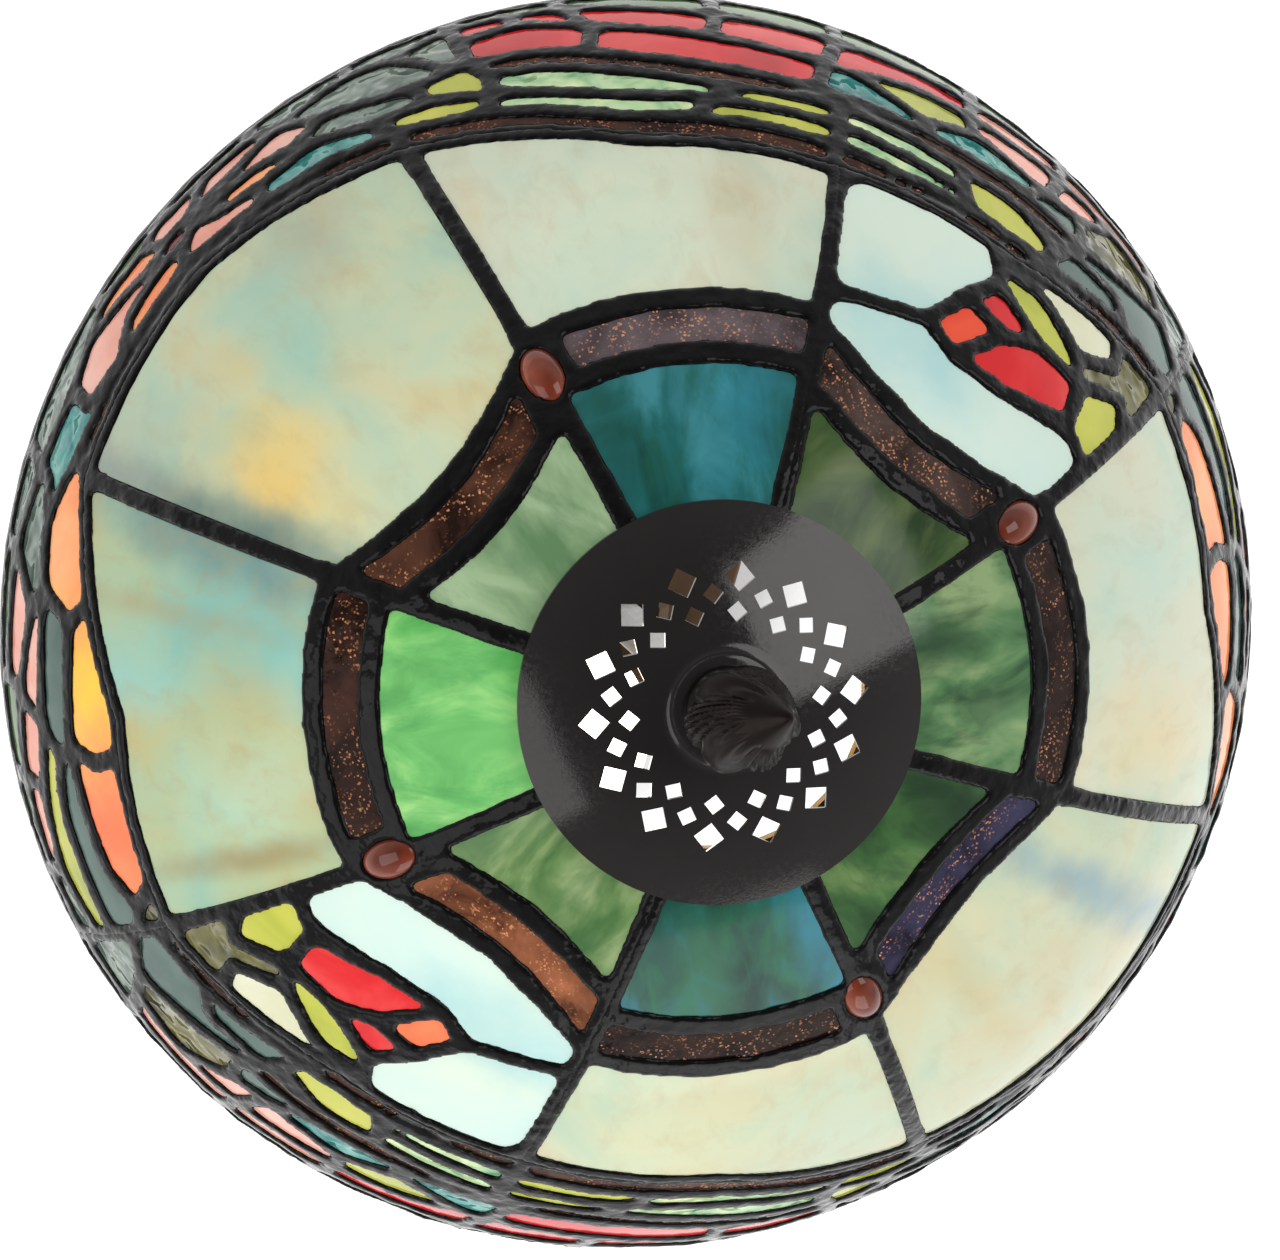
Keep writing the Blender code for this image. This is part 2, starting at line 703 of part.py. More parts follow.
def build_finial():
    """Bud finial with a blind hole for the pipe's end."""
    profile = [(FINIAL_RADIUS * across, FINIAL_HEIGHT * up) for across, up in FINIAL_PROFILE]
    depth = PIPE_INTO_FINIAL + GAP
    profile += [(PIPE_HOLE, 0.0), (PIPE_HOLE, depth), (0.0, depth)]
    turned("finial", profile, FINIAL_BRONZE, (0, 0, BOSS_TOP + GAP), 3 * FINIAL_LEAVES,
           finial_shape)


# Stand
def hexagon(name, high, material):
    """Six-sided nut hanging from a height on the pipe."""
    sides = 6
    half_side = math.pi / sides

    def flats(co):
        if math.hypot(co.x, co.y) < NUT_RADIUS * 0.9:
            return co
        from_middle = math.atan2(co.y, co.x) % (2 * half_side) - half_side
        shrink = math.cos(half_side) / math.cos(from_middle)
        return Vector((co.x * shrink, co.y * shrink, co.z))
    profile = ring_profile(PIPE_HOLE, NUT_RADIUS, high - NUT_HEIGHT, high)
    turned(name, profile, material, steps=4 * sides, shape=flats)


def build_foot():
    """Foot with its felt, cord bushing, washer and nut."""
    band_top = FELT_SHEET + GAP + FOOT_BAND
    floor = FELT_SHEET + GAP
    neck = COLUMN_BASE_RADIUS
    rise = FOOT_TOP - band_top
    slope = [(neck * across, FOOT_TOP - rise * down) for across, down in FOOT_SLOPE]
    outside = slope + [(FOOT_RADIUS * FOOT_STEP[0], FOOT_TOP - rise * FOOT_STEP[1]),
                       (FOOT_RADIUS * FOOT_STEP_INNER, band_top + EDGE_BREAK),
                       (FOOT_RADIUS * FOOT_STEP_OUTER, band_top),
                       (FOOT_RADIUS, band_top - 2 * EDGE_BREAK), (FOOT_RADIUS, floor + EDGE_BREAK),
                       (FOOT_RADIUS - EDGE_BREAK, floor)]
    inner = FOOT_RADIUS - FOOT_WALL
    waist, waist_height = slope[-2]
    inside = [(inner, floor), (inner, band_top - FOOT_WALL), (waist, waist_height - FOOT_WALL),
              (NUT_RADIUS + FOOT_WALL, HUB_HEIGHT), (PIPE_HOLE, HUB_HEIGHT), (PIPE_HOLE, FOOT_TOP)]
    foot = turned("base_foot", outside + inside, BRONZE)
    felt = FOOT_RADIUS - FELT_INSET
    turned("base_felt", [(0, FELT_SHEET), (felt, FELT_SHEET), (felt, 0), (0, 0)], FELT)
    inlet = side_axis(BUSHING_AZIMUTH, (0, 0, floor + FOOT_BAND / 2))
    cut(foot, cylinder_mesh("inlet", BUSHING_RADIUS + GAP, inner - FOOT_WALL,
                            FOOT_RADIUS + FOOT_WALL), "inlet", inlet)
    lip = FOOT_RADIUS + GAP
    tail = inner - EDGE_BREAK
    profile = [(BUSHING_FLANGE, lip + BUSHING_SHEET), (BUSHING_FLANGE, lip), (BUSHING_RADIUS, lip),
               (BUSHING_RADIUS, tail), (BUSHING_BORE, tail), (BUSHING_BORE, lip + BUSHING_SHEET)]
    bushing = turned("cord_bushing", profile, BLACK_PLASTIC, steps=SMALL_STEPS)
    bushing.matrix_world = inlet
    washer_top = HUB_HEIGHT - GAP
    turned("lock_washer", ring_profile(PIPE_HOLE, WASHER_RADIUS, washer_top - WASHER_SHEET,
                                       washer_top), STEEL, steps=SMALL_STEPS)
    hexagon("pipe_nut", washer_top - WASHER_SHEET - GAP, STEEL)


def build_column():
    """Column, its collar and the pipe that ties the lamp together."""
    low = FOOT_TOP + GAP
    high = CLUSTER_MIDDLE - CLUSTER_HEIGHT / 2 - COLLAR_HEIGHT - 2 * GAP
    length = high - low
    profile = [(COLUMN_KNOP, high)]
    for across, up in COLUMN_PROFILE:
        profile.append((max(COLUMN_BASE_RADIUS * across, COLUMN_WAIST), low + length * up))
    profile += [(PIPE_HOLE, low), (PIPE_HOLE, high)]
    turned("column", profile, BRONZE, steps=SMALL_STEPS)
    base = high + GAP
    top = base + COLLAR_HEIGHT
    profile = [(CLUSTER_RADIUS * 0.8, top), (COLLAR_RADIUS * 0.82, top - COLLAR_HEIGHT * 0.2),
               (COLLAR_RADIUS, top - COLLAR_HEIGHT * 0.45), (COLLAR_RADIUS, top - COLLAR_HEIGHT * 0.6),
               (COLLAR_RADIUS * 0.75, base), (PIPE_HOLE, base), (PIPE_HOLE, top)]
    turned("column_collar", profile, BRONZE, steps=SMALL_STEPS)
    bottom = HUB_HEIGHT - WASHER_SHEET - NUT_HEIGHT - WASHER_SHEET * 2
    turned("lamp_pipe", ring_profile(PIPE_BORE, PIPE_RADIUS, bottom,
                                     BOSS_TOP + GAP + PIPE_INTO_FINIAL), STEEL,
           steps=SMALL_STEPS)
    rest_top = cap_under(REST_RADIUS) - GAP
    turned("shade_rest", ring_profile(PIPE_HOLE, REST_RADIUS, rest_top - REST_SHEET, rest_top),
           BRASS, steps=SMALL_STEPS)
    hexagon("rest_nut", rest_top - REST_SHEET - GAP, BRASS)


def build_cluster():
    """Body on the pipe that carries the socket's bent arm."""
    low = CLUSTER_MIDDLE - CLUSTER_HEIGHT / 2
    high = CLUSTER_MIDDLE + CLUSTER_HEIGHT / 2
    edge = CLUSTER_HEIGHT * 0.15
    body = turned("cluster_body", ring_profile(PIPE_HOLE, CLUSTER_RADIUS, low, high, edge), BRONZE,
                  steps=SMALL_STEPS)
    start = PIPE_HOLE + CLUSTER_WALL
    hole = cylinder_mesh("arm_hole", ARM_RADIUS + GAP, start - GAP, CLUSTER_RADIUS * 2)
    cut(body, hole, "arm_hole", side_axis(BULB_AZIMUTH, (0, 0, CLUSTER_MIDDLE)))
    curve = bpy.data.curves.new("socket_arm", "CURVE")
    curve.dimensions = "3D"
    curve.bevel_depth = ARM_RADIUS
    curve.bevel_resolution = 2
    curve.use_fill_caps = True
    points = [(start, CLUSTER_MIDDLE)]
    bends = 4
    for step in range(bends + 1):
        angle = math.pi / 2 * step / bends
        points.append((BULB_OFFSET - ARM_BEND + ARM_BEND * math.sin(angle),
                       CLUSTER_MIDDLE + ARM_BEND - ARM_BEND * math.cos(angle)))
    points.append((BULB_OFFSET, CLUSTER_MIDDLE + ARM_BEND + SOCKET_CAP_HEIGHT / 3))
    line = curve.splines.new("POLY")
    line.points.add(len(points) - 1)
    for place, (out, height) in zip(line.points, points):
        place.co = (out * math.cos(BULB_AZIMUTH), out * math.sin(BULB_AZIMUTH), height, 1)
    drawn = bpy.data.objects.new("arm_curve", curve)
    CUTTERS.objects.link(drawn)
    bpy.context.view_layer.update()
    mesh = bpy.data.meshes.new_from_object(drawn.evaluated_get(
        bpy.context.evaluated_depsgraph_get()))
    bpy.data.objects.remove(drawn)
    bm = bmesh.new()
    bm.from_mesh(mesh)
    add_object("socket_arm", mesh_from(bm, "socket_arm", True), BRONZE)


SOCKET_PLACE = Vector((BULB_OFFSET * math.cos(BULB_AZIMUTH), BULB_OFFSET * math.sin(BULB_AZIMUTH),
                       SOCKET_BASE))
BODY_BASE = 2 * SHELL_WALL
BODY_TOP = BODY_BASE + SOCKET_BODY_HEIGHT
BULB_FOOT = BODY_TOP + GAP + CONTACT_SHEET + GAP
THREAD_TOP = BULB_FOOT + THREAD_DEPTH + THREAD_HEIGHT


def build_socket():
    """Socket shells, insulator and contacts, about the socket's own axis."""
    sleeve_top = SOCKET_HEIGHT - SHELL_WALL
    neck = ARM_RADIUS + GAP
    skirt = SOCKET_HEIGHT * 0.15
    floor = -SOCKET_CAP_HEIGHT
    cap = [(SOCKET_CAP_RADIUS, skirt), (SOCKET_CAP_RADIUS, -SHELL_WALL),
           (SOCKET_CAP_RADIUS * 0.9, floor * 0.35), (SOCKET_CAP_RADIUS * 0.6, floor * 0.65),
           (neck + 2 * SHELL_WALL, floor * 0.75), (neck + 2 * SHELL_WALL, floor), (neck, floor),
           (neck, floor * 0.55), (SOCKET_CAP_RADIUS * 0.55, floor * 0.5),
           (SOCKET_CAP_RADIUS * 0.85, -GAP), (SHELL_OUTER + GAP, -GAP),
           (SHELL_OUTER + GAP, skirt)]
    turned("socket_cap", cap, BRASS, SOCKET_PLACE, SMALL_STEPS)
    outer = turned("socket_shell", ring_profile(SHELL_OUTER - SHELL_WALL, SHELL_OUTER, 0,
                                                SOCKET_HEIGHT), BRASS, SOCKET_PLACE, SMALL_STEPS)
    liner = turned("socket_liner", ring_profile(LINER_OUTER - SHELL_WALL, LINER_OUTER, SHELL_WALL,
                                                sleeve_top), FIBRE, SOCKET_PLACE, SMALL_STEPS)
    body_radius = LINER_OUTER - SHELL_WALL - GAP
    body = turned("socket_body", [(0, BODY_TOP), (body_radius, BODY_TOP), (body_radius, BODY_BASE),
                                  (0, BODY_BASE)], PHENOLIC, SOCKET_PLACE, SMALL_STEPS)
    turned("center_contact", [(0, CONTACT_SHEET), (CONTACT_RADIUS, CONTACT_SHEET),
                              (CONTACT_RADIUS, 0), (0, 0)], BRASS,
           SOCKET_PLACE + Vector((0, 0, BODY_TOP + GAP)), SMALL_STEPS)
    turned("screw_shell", ring_profile(SCREW_SHELL_INNER, SCREW_SHELL_OUTER, BODY_TOP + GAP,
                                       sleeve_top), BRASS, SOCKET_PLACE, SMALL_STEPS)
    axis = side_axis(BULB_AZIMUTH, SOCKET_PLACE + Vector((0, 0, SHAFT_HEIGHT)))
    inside = body_radius / 2
    for target in (outer, liner, body):
        hole = cylinder_mesh("shaft_hole", SHAFT_RADIUS + GAP, inside - GAP,
                             SOCKET_CAP_RADIUS * 2, TINY_STEPS)
        cut(target, hole, f"shaft_hole_{target.name}", axis)
    build_switch(axis, inside)


def build_switch(axis, inside):
    """Turn knob on its shaft."""
    knob_base = SOCKET_CAP_RADIUS + 4 * GAP
    knob_top = knob_base + KNOB_LENGTH
    seat = knob_base + KNOB_LENGTH / 2
    shaft = turned("switch_shaft", [(0, seat), (SHAFT_RADIUS, seat), (SHAFT_RADIUS, inside),
                                    (0, inside)], STEEL, steps=TINY_STEPS)
    shaft.matrix_world = axis
    bore = SHAFT_RADIUS + GAP
    profile = [(0, knob_top), (KNOB_RADIUS * 0.7, knob_top), (KNOB_RADIUS, knob_top - EDGE_BREAK),
               (KNOB_RADIUS, knob_base + KNOB_LENGTH * 0.35), (KNOB_RADIUS * 0.6, knob_base),
               (bore, knob_base), (bore, seat + GAP), (0, seat + GAP)]

    def ribs(co):
        radius = math.hypot(co.x, co.y)
        if radius < KNOB_RADIUS * 0.95:
            return co
        grow = 1 + RIB_SHARE * math.cos(KNOB_RIBS * math.atan2(co.y, co.x))
        return Vector((co.x * grow, co.y * grow, co.z))
    knob = turned("switch_knob", profile, BLACK_PLASTIC, steps=KNOB_RIBS * 3, shape=ribs)
    knob.matrix_world = axis


def build_bulb():
    """Frosted bulb on its threaded cap, about the socket's axis."""
    neck = THREAD_RADIUS - THREAD_DEPTH
    cap_top = THREAD_TOP - EDGE_BREAK
    profile = [(0, cap_top), (neck, cap_top)]
    for crest in range(THREAD_COUNT):
        top = cap_top - crest * THREAD_PITCH
        profile.append((THREAD_RADIUS, top - THREAD_PITCH / 2))
        profile.append((neck, top - THREAD_PITCH))
    profile += [(CONTACT_RADIUS, BULB_FOOT), (0, BULB_FOOT)]
    turned("bulb_cap", profile, STEEL, SOCKET_PLACE, SMALL_STEPS)
    low = cap_top + GAP
    top = low + BULB_LENGTH
    middle = top - BULB_RADIUS
    outside = []
    inside = []
    arcs = 7
    for step in range(arcs + 1):
        angle = BULB_SWEEP * step / arcs
        outside.append((BULB_RADIUS * math.sin(angle), middle + BULB_RADIUS * math.cos(angle)))
        inner = BULB_RADIUS - BULB_WALL
        inside.append((inner * math.sin(angle), middle + inner * math.cos(angle)))
    neck_top = low + BULB_LENGTH * NECK_SHARE
    outside += [(neck, neck_top), (neck, low)]
    inside += [(neck - BULB_WALL, neck_top), (neck - BULB_WALL, low)]
    turned("bulb_glass", outside + inside[::-1], FROSTED, SOCKET_PLACE, SMALL_STEPS)


build_shade()
build_cap()
build_finial()
build_foot()
build_column()
build_cluster()
build_socket()
build_bulb()
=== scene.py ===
"""Leaded glass table lamp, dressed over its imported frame.

The shade's pattern is drawn in two coordinates on the dome: the azimuth in degrees, and the height
above the rim in millimetres or a line across the dome. The pattern repeats after half a turn.
"""
import math
import random

import bmesh
import bpy
from bpy.props import FloatProperty, FloatVectorProperty, IntProperty, PointerProperty
from mathutils import Matrix, Vector


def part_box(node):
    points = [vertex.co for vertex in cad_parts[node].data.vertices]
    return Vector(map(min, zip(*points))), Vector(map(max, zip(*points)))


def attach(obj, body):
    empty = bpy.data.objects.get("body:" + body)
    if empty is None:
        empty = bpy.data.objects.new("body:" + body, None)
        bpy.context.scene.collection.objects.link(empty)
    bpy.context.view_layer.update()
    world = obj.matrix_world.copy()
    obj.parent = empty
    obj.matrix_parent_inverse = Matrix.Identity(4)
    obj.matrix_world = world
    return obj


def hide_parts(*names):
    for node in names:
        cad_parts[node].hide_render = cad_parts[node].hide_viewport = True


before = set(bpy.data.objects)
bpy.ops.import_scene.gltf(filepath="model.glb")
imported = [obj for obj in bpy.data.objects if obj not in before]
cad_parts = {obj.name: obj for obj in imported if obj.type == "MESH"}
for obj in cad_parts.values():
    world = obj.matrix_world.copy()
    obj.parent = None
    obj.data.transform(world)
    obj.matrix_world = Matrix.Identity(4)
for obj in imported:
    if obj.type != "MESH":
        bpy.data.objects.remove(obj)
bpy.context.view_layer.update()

bl_info = {
    "name": "Leaded Glass Table Lamp",
    "version": (1, 0, 0),
    "blender": (4, 5, 0),
    "location": "View3D > Sidebar > Lamp",
    "description": "Builds the glass shade, cap, finial, bulb and stand of a table lamp",
    "category": "Object",
}

MM = 0.001
SECTORS = 8
FULL_TURN = 2 * math.pi
HALF_TURN = math.pi
SECTOR = FULL_TURN / SECTORS
WHITE = (1, 1, 1, 1)
CLEARANCE = 0.0003
MERGE_DISTANCE = 1e-6
LEAST_COSINE = 1e-6


def node_box(name):
    """Lowest and highest corner of a frame node."""
    low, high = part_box(name)
    return Vector(low), Vector(high)


def node_high(name):
    """Highest corner of a frame node."""
    return node_box(name)[1]


def node_middle(name):
    """Middle of a frame node's box."""
    low, high = node_box(name)
    return (low + high) / 2


def pipe_bore():
    """Radius of a hole that the lamp's pipe goes through."""
    return node_high("lamp_pipe").x + CLEARANCE


def length(name, description, default):
    """A size in metres that a user may change."""
    return FloatProperty(name=name, description=description, default=default, unit="LENGTH")


def colour(name, description, default):
    """A colour that a user may change, given in display values from 0 to 255."""
    return FloatVectorProperty(name=name, description=description, default=linear(*default),
                               subtype="COLOR", size=3, min=0.0, max=1.0)


def linear(red, green, blue):
    """Scene colour of a display colour given from 0 to 255."""
    values = []
    for value in (red, green, blue):
        share = value / 255
        values.append(share / 12.92 if share < 0.04045 else ((share + 0.055) / 1.055) ** 2.4)
    return tuple(values)


def stops(*rows):
    """Stops of a colour ramp, from rows of position and display colour."""
    return tuple((position, linear(*shade)) for position, *shade in rows)


class LampDome(bpy.types.PropertyGroup):
    """Shape of the shade's outer glass face."""
    radius: length("Radius", "Plan radius of the glass at the rim", 0.1512)
    height: length("Height", "Rise of the glass from rim to crown", 0.125)
    rim_height: length("Rim height", "Height of the rim above the table", 0.288)
    power: FloatProperty(name="Roundness", description="Power of the dome's profile", default=1.38)
    rim_fall: FloatProperty(name="Rim fall", description="Angle of fall at the rim",
                            default=math.radians(87.5), subtype="ANGLE")
    glass: length("Glass", "Thickness of the sheet glass", 0.003)


class LampSeams(bpy.types.PropertyGroup):
    """Soldered seams between the pieces of glass."""
    wide: length("Long seams", "Half of a long seam's width on the dome", 0.0021)
    half_width: length("Short seams", "Half of a short seam's width on the dome", 0.0015)
    bead: length("Bead", "Radius of the raised solder bead", 0.0009)
    voxel: length("Voxel", "Cell of the solder's skin", 0.0009)
    lumps: length("Lumps", "Depth of the solder's lumps", 0.0007)


class LampColours(bpy.types.PropertyGroup):
    """Main colours of the lamp."""
    solder: colour("Solder", "Black patina on the seams", (12, 11, 12))
    cap: colour("Cap", "Polished gunmetal of the vented cap", (50, 48, 47))
    bronze: colour("Bronze", "Antique bronze of the stand", (78, 60, 44))
    finial: colour("Finial", "Dark bronze of the finial", (26, 21, 19))
    bulb: colour("Bulb", "Light of the bulb", (255, 244, 220))


class Dome:
    """Points on the shade by azimuth and fall, where fall runs from crown to rim."""

    def __init__(self, sizes):
        self.radius = sizes.radius
        self.height = sizes.height
        self.base = sizes.rim_height
        self.power = sizes.power
        self.rim = sizes.rim_fall
        self.glass = sizes.glass

    def slopes(self, fall):
        """Outward and downward run for each radian of fall."""
        cosine = max(math.cos(fall), LEAST_COSINE)
        across = self.radius * cosine
        down = self.height * self.power * cosine ** (self.power - 1) * math.sin(fall)
        return across, down

    def speed(self, fall):
        """Length along the meridian for each radian of fall."""
        return math.hypot(*self.slopes(fall))

    def point(self, azimuth, fall, lift=0.0):
        """Point on the glass, lifted along its normal."""
        across, down = self.slopes(fall)
        speed = math.hypot(across, down)
        radius = self.radius * math.sin(fall) + lift * down / speed
        height = self.height * max(math.cos(fall), 0.0) ** self.power + lift * across / speed
        return Vector((radius * math.cos(azimuth), radius * math.sin(azimuth), self.base + height))

    def fall_of_share(self, share):
        """Fall at a share of the plan radius."""
        return math.asin(min(share, math.sin(self.rim)))

    def fall_of_height(self, height):
        """Fall at a height above the rim."""
        share = max(0.0, min(1.0, height / self.height))
        return min(math.acos(share ** (1 / self.power)), self.rim)

    def move(self, fall, distance):
        """Fall a distance further down."""
        return min(fall + distance / self.speed(fall), self.rim)


# Lines of the pattern, as shares of the dome's plan radius
CROWN_TOP = 0.262
INNER_LINE = (0.496, 0.413, 0.470)
OUTER_LINE = (0.572, 0.489, 0.565)
SHOULDER = (0.860, 0.796, 0.784, 0.798, 0.870, 0.917, 0.919, 0.843)
JEWEL_SHARE = 0.522

# Half sizes of a jewel, and corners of the outline round it
JEWEL_LONG = 0.0074
JEWEL_WIDE = 0.0048
JEWEL_DEEP = 0.0042
JEWEL_SIDES = 20

# Where the corners of outlines and of turned profiles are cut, as shares of a side
SOFT_CORNER = (0.13, 0.87)
ROUND_CORNER = (0.25, 0.75)
SHARPEST_CORNER = 0.5
INSET_ROUNDS = 3

# Cells of the bent glass, and angles above which an edge stays sharp
GLASS_CELL = 0.006
SMALL_CELL = 0.005
GLASS_EDGE = math.radians(50)
TURNED_EDGE = math.radians(40)
CAP_EDGE = math.radians(30)


def border_line(dome, sector, radii):
    """Border line in one sector: an arc on the even sectors, bowed in on the odd ones."""
    arc, bow, end = radii

    def line(azimuth):
        if sector % 2 == 0:
            return dome.fall_of_share(arc)
        offset = (azimuth - sector * SECTOR) / (SECTOR / 2)
        return dome.fall_of_share(bow + (end - bow) * offset * offset)
    return line


def shoulder_line(dome):
    """Lower edge of the main panes, which repeats every half turn."""
    def line(azimuth):
        place = (azimuth - SECTOR / 2) / (SECTOR / 2)
        first = math.floor(place)
        low = SHOULDER[first % len(SHOULDER)]
        high = SHOULDER[(first + 1) % len(SHOULDER)]
        return dome.fall_of_share(low + (high - low) * (place - first))
    return line


def level_line(fall):
    """A line at one fall all round."""
    return lambda azimuth: fall


def patch_outline(dome, start, end, top, bottom, inset, steps=8):
    """Outline between two azimuths and two lines, drawn in by an inset on each side."""
    left, right, upper, lower = inset

    def corner(along, down):
        straight = start + (end - start) * along
        azimuth = straight
        for _ in range(INSET_ROUNDS):
            high = dome.move(top(azimuth), upper)
            low = dome.move(bottom(azimuth), -lower)
            fall = high + (low - high) * down
            shift = left * (1 - along) - right * along
            azimuth = straight + shift / (dome.radius * math.sin(fall))
        return azimuth, fall
    upper_side = [corner(step / steps, 0.0) for step in range(steps + 1)]
    lower_side = [corner(1 - step / steps, 1.0) for step in range(steps + 1)]
    return upper_side + lower_side


def loop(items):
    """Each item of a closed list with the one after it."""
    return zip(items, items[1:] + items[:1])


def cut_corners(pairs, shares):
    """Two places on each side of an outline, which leave its corners out."""
    return [(here[0] + (after[0] - here[0]) * share, here[1] + (after[1] - here[1]) * share)
            for here, after in pairs for share in shares]


def drawn_outline(dome, points, turn, inset):
    """Outline with soft corners from points of azimuth in degrees and height in millimetres."""
    outline = drawn_in(dome, [(math.radians(azimuth) + turn, dome.fall_of_height(height * MM))
                              for azimuth, height in points], inset)
    for _ in range(2):
        outline = cut_corners(loop(outline), SOFT_CORNER)
    return outline


def drawn_in(dome, outline, inset):
    """Outline moved inward along its own sides, measured on the dome."""
    fall = sum(place[1] for place in outline) / len(outline)
    wide = dome.radius * math.sin(fall)
    tall = dome.speed(fall)
    flat = [Vector((azimuth * wide, place * tall)) for azimuth, place in outline]
    area = sum(here.x * after.y - after.x * here.y for here, after in loop(flat))
    inward = 1 if area > 0 else -1
    moved = []
    for before, (here, after) in zip(flat[-1:] + flat[:-1], loop(flat)):
        first = (here - before).normalized().orthogonal() * inward
        second = (after - here).normalized().orthogonal() * inward
        corner = (first + second) / max(1 + first.dot(second), SHARPEST_CORNER)
        place = here + corner * inset
        moved.append((place.x / wide, place.y / tall))
    return moved


def smooth_profile(points, rounds=2):
    """Profile with its corners cut, kept open at both ends."""
    for _ in range(rounds):
        points = [points[0]] + cut_corners(zip(points, points[1:]), ROUND_CORNER) + [points[-1]]
    return points


# Mesh helpers
def set_all(made, **settings):
    """Set several properties of an item and hand it back."""
    for name, value in settings.items():
        setattr(made, name, value)
    return made


def scratch(name, data):
    """Object in the scene, for a piece or for work in progress."""
    made = bpy.data.objects.new(name, data)
    bpy.context.scene.collection.objects.link(made)
    return made


def finish_object(name, mesh, material, body, nodes):
    """Link a piece, give it its material, hang it on its body and hide the frame nodes it replaces."""
    made = scratch(name, mesh)
    mesh.materials.clear()
    mesh.materials.append(material)
    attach(made, body)
    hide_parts(*nodes)
    return made


def mesh_of(bm, name, closed=True, smooth=True):
    """Mesh of a bmesh; a closed one gets its faces turned outward."""
    bmesh.ops.remove_doubles(bm, verts=bm.verts, dist=MERGE_DISTANCE)
    if closed:
        bmesh.ops.recalc_face_normals(bm, faces=bm.faces)
    mesh = bpy.data.meshes.new(name)
    bm.to_mesh(mesh)
    bm.free()
    if smooth:
        mesh.shade_smooth()
    return mesh


def settled(source, name):
    """Mesh of an object with its modifiers made real; the object is removed."""
    bpy.context.view_layer.update()
    graph = bpy.context.evaluated_depsgraph_get()
    mesh = bpy.data.meshes.new_from_object(source.evaluated_get(graph))
    mesh.name = name
    bpy.data.objects.remove(source)
    return mesh


def turned_mesh(name, profile, steps, shape=None):
    """Spin a closed outline of (radius, height) points about Z, then move each corner by shape."""
    bm = bmesh.new()
    corners = [bm.verts.new((radius, 0.0, height)) for radius, height in profile]
    edges = [bm.edges.new(pair) for pair in loop(corners)
             if max(corner.co.x for corner in pair) > MERGE_DISTANCE]
    bmesh.ops.spin(bm, geom=corners + edges, axis=(0, 0, 1), cent=(0, 0, 0), angle=FULL_TURN,
                   steps=steps, use_merge=True)
    bmesh.ops.remove_doubles(bm, verts=bm.verts, dist=MERGE_DISTANCE)
    if shape:
        for corner in bm.verts:
            corner.co = shape(corner.co)
    mesh = mesh_of(bm, name)
    mesh.set_sharp_from_angle(angle=TURNED_EDGE)
    return mesh


def turned_object(name, profile, steps, material, body, node, shape=None):
    """Turned piece that stands for one node."""
    return finish_object(name, turned_mesh(name, profile, steps, shape), material, body, [node])


def flat_faces(outlines, dome, fill):
    """Sheet of faces in the plane of the pattern, from outlines or the space between them."""
    bm = bmesh.new()
    speed = dome.height + dome.radius
    for outline in outlines:
        corners = [bm.verts.new((azimuth * dome.radius, -fall * speed, 0.0))
                   for azimuth, fall in outline]
        if fill:
            for pair in loop(corners):
                bm.edges.new(pair)
        else:
            bm.faces.new(corners)
    if fill:
        bmesh.ops.triangle_fill(bm, use_beauty=True, use_dissolve=False, edges=bm.edges[:],
                                normal=(0, 0, 1))
    return bm, speed


def bend_to_dome(bm, dome, speed, cell, lift):
    """Cut a flat sheet into small cells and lay it on the dome."""
    for axis in (0, 1):
        low = min(corner.co[axis] for corner in bm.verts)
        high = max(corner.co[axis] for corner in bm.verts)
        count = max(1, math.ceil((high - low) / cell))
        normal = Vector((axis == 0, axis == 1, 0))
        for place in range(1, count):
            bmesh.ops.bisect_plane(bm, geom=bm.verts[:] + bm.edges[:] + bm.faces[:],
                                   plane_co=normal * (low + (high - low) * place / count),
                                   plane_no=normal, dist=MERGE_DISTANCE / 10)
    for corner in bm.verts:
        corner.co = dome.point(corner.co.x / dome.radius, -corner.co.y / speed, lift)
    middle = Vector((0, 0, dome.base))
    bm.normal_update()
    for face in bm.faces:
        if face.normal.dot(face.calc_center_median() - middle) < 0:
            face.normal_flip()


def thick_sheet(name, bm, depth):
    """Mesh of an open sheet with its thickness, inward."""
    work = scratch(name + "_work", mesh_of(bm, name, closed=False))
    set_all(work.modifiers.new("thickness", "SOLIDIFY"), thickness=depth, offset=-1.0)
    return settled(work, name)


def glass_object(name, outlines, dome, material, nodes, cell=GLASS_CELL):
    """Pieces of glass of one colour, bent to the dome."""
    bm, speed = flat_faces(outlines, dome, False)
    bend_to_dome(bm, dome, speed, cell, 0.0)
    mesh = thick_sheet(name, bm, dome.glass)
    mesh.set_sharp_from_angle(angle=GLASS_EDGE)
    return finish_object(name, mesh, material, "shade", nodes)


# Pattern of the shade
def sector_ends(sector):
    """First and last azimuth of a sector."""
    return (sector - 0.5) * SECTOR, (sector + 0.5) * SECTOR


def crown_outline(dome, seams, sector):
    """Glass between the cap and the border."""
    start, end = sector_ends(sector)
    return patch_outline(dome, start, end, level_line(dome.fall_of_share(CROWN_TOP)),
                         border_line(dome, sector, INNER_LINE), (seams.wide,) * 4)


def border_outline(dome, seams, sector):
    """Brown strip of the border, kept clear of a jewel at its end."""
    start, end = sector_ends(sector)
    clear = JEWEL_WIDE + seams.wide
    left = clear if sector % 2 else seams.wide
    right = clear if sector % 2 == 0 else seams.wide
    return patch_outline(dome, start, end, border_line(dome, sector, INNER_LINE),
                         border_line(dome, sector, OUTER_LINE),
                         (left, right, seams.wide, seams.wide))


def pane_outline(dome, seams, sector):
    """Main pane between the border and the shoulder."""
    start, end = sector_ends(sector)
    return patch_outline(dome, start, end, border_line(dome, sector, OUTER_LINE),
                         shoulder_line(dome), (seams.wide,) * 4)


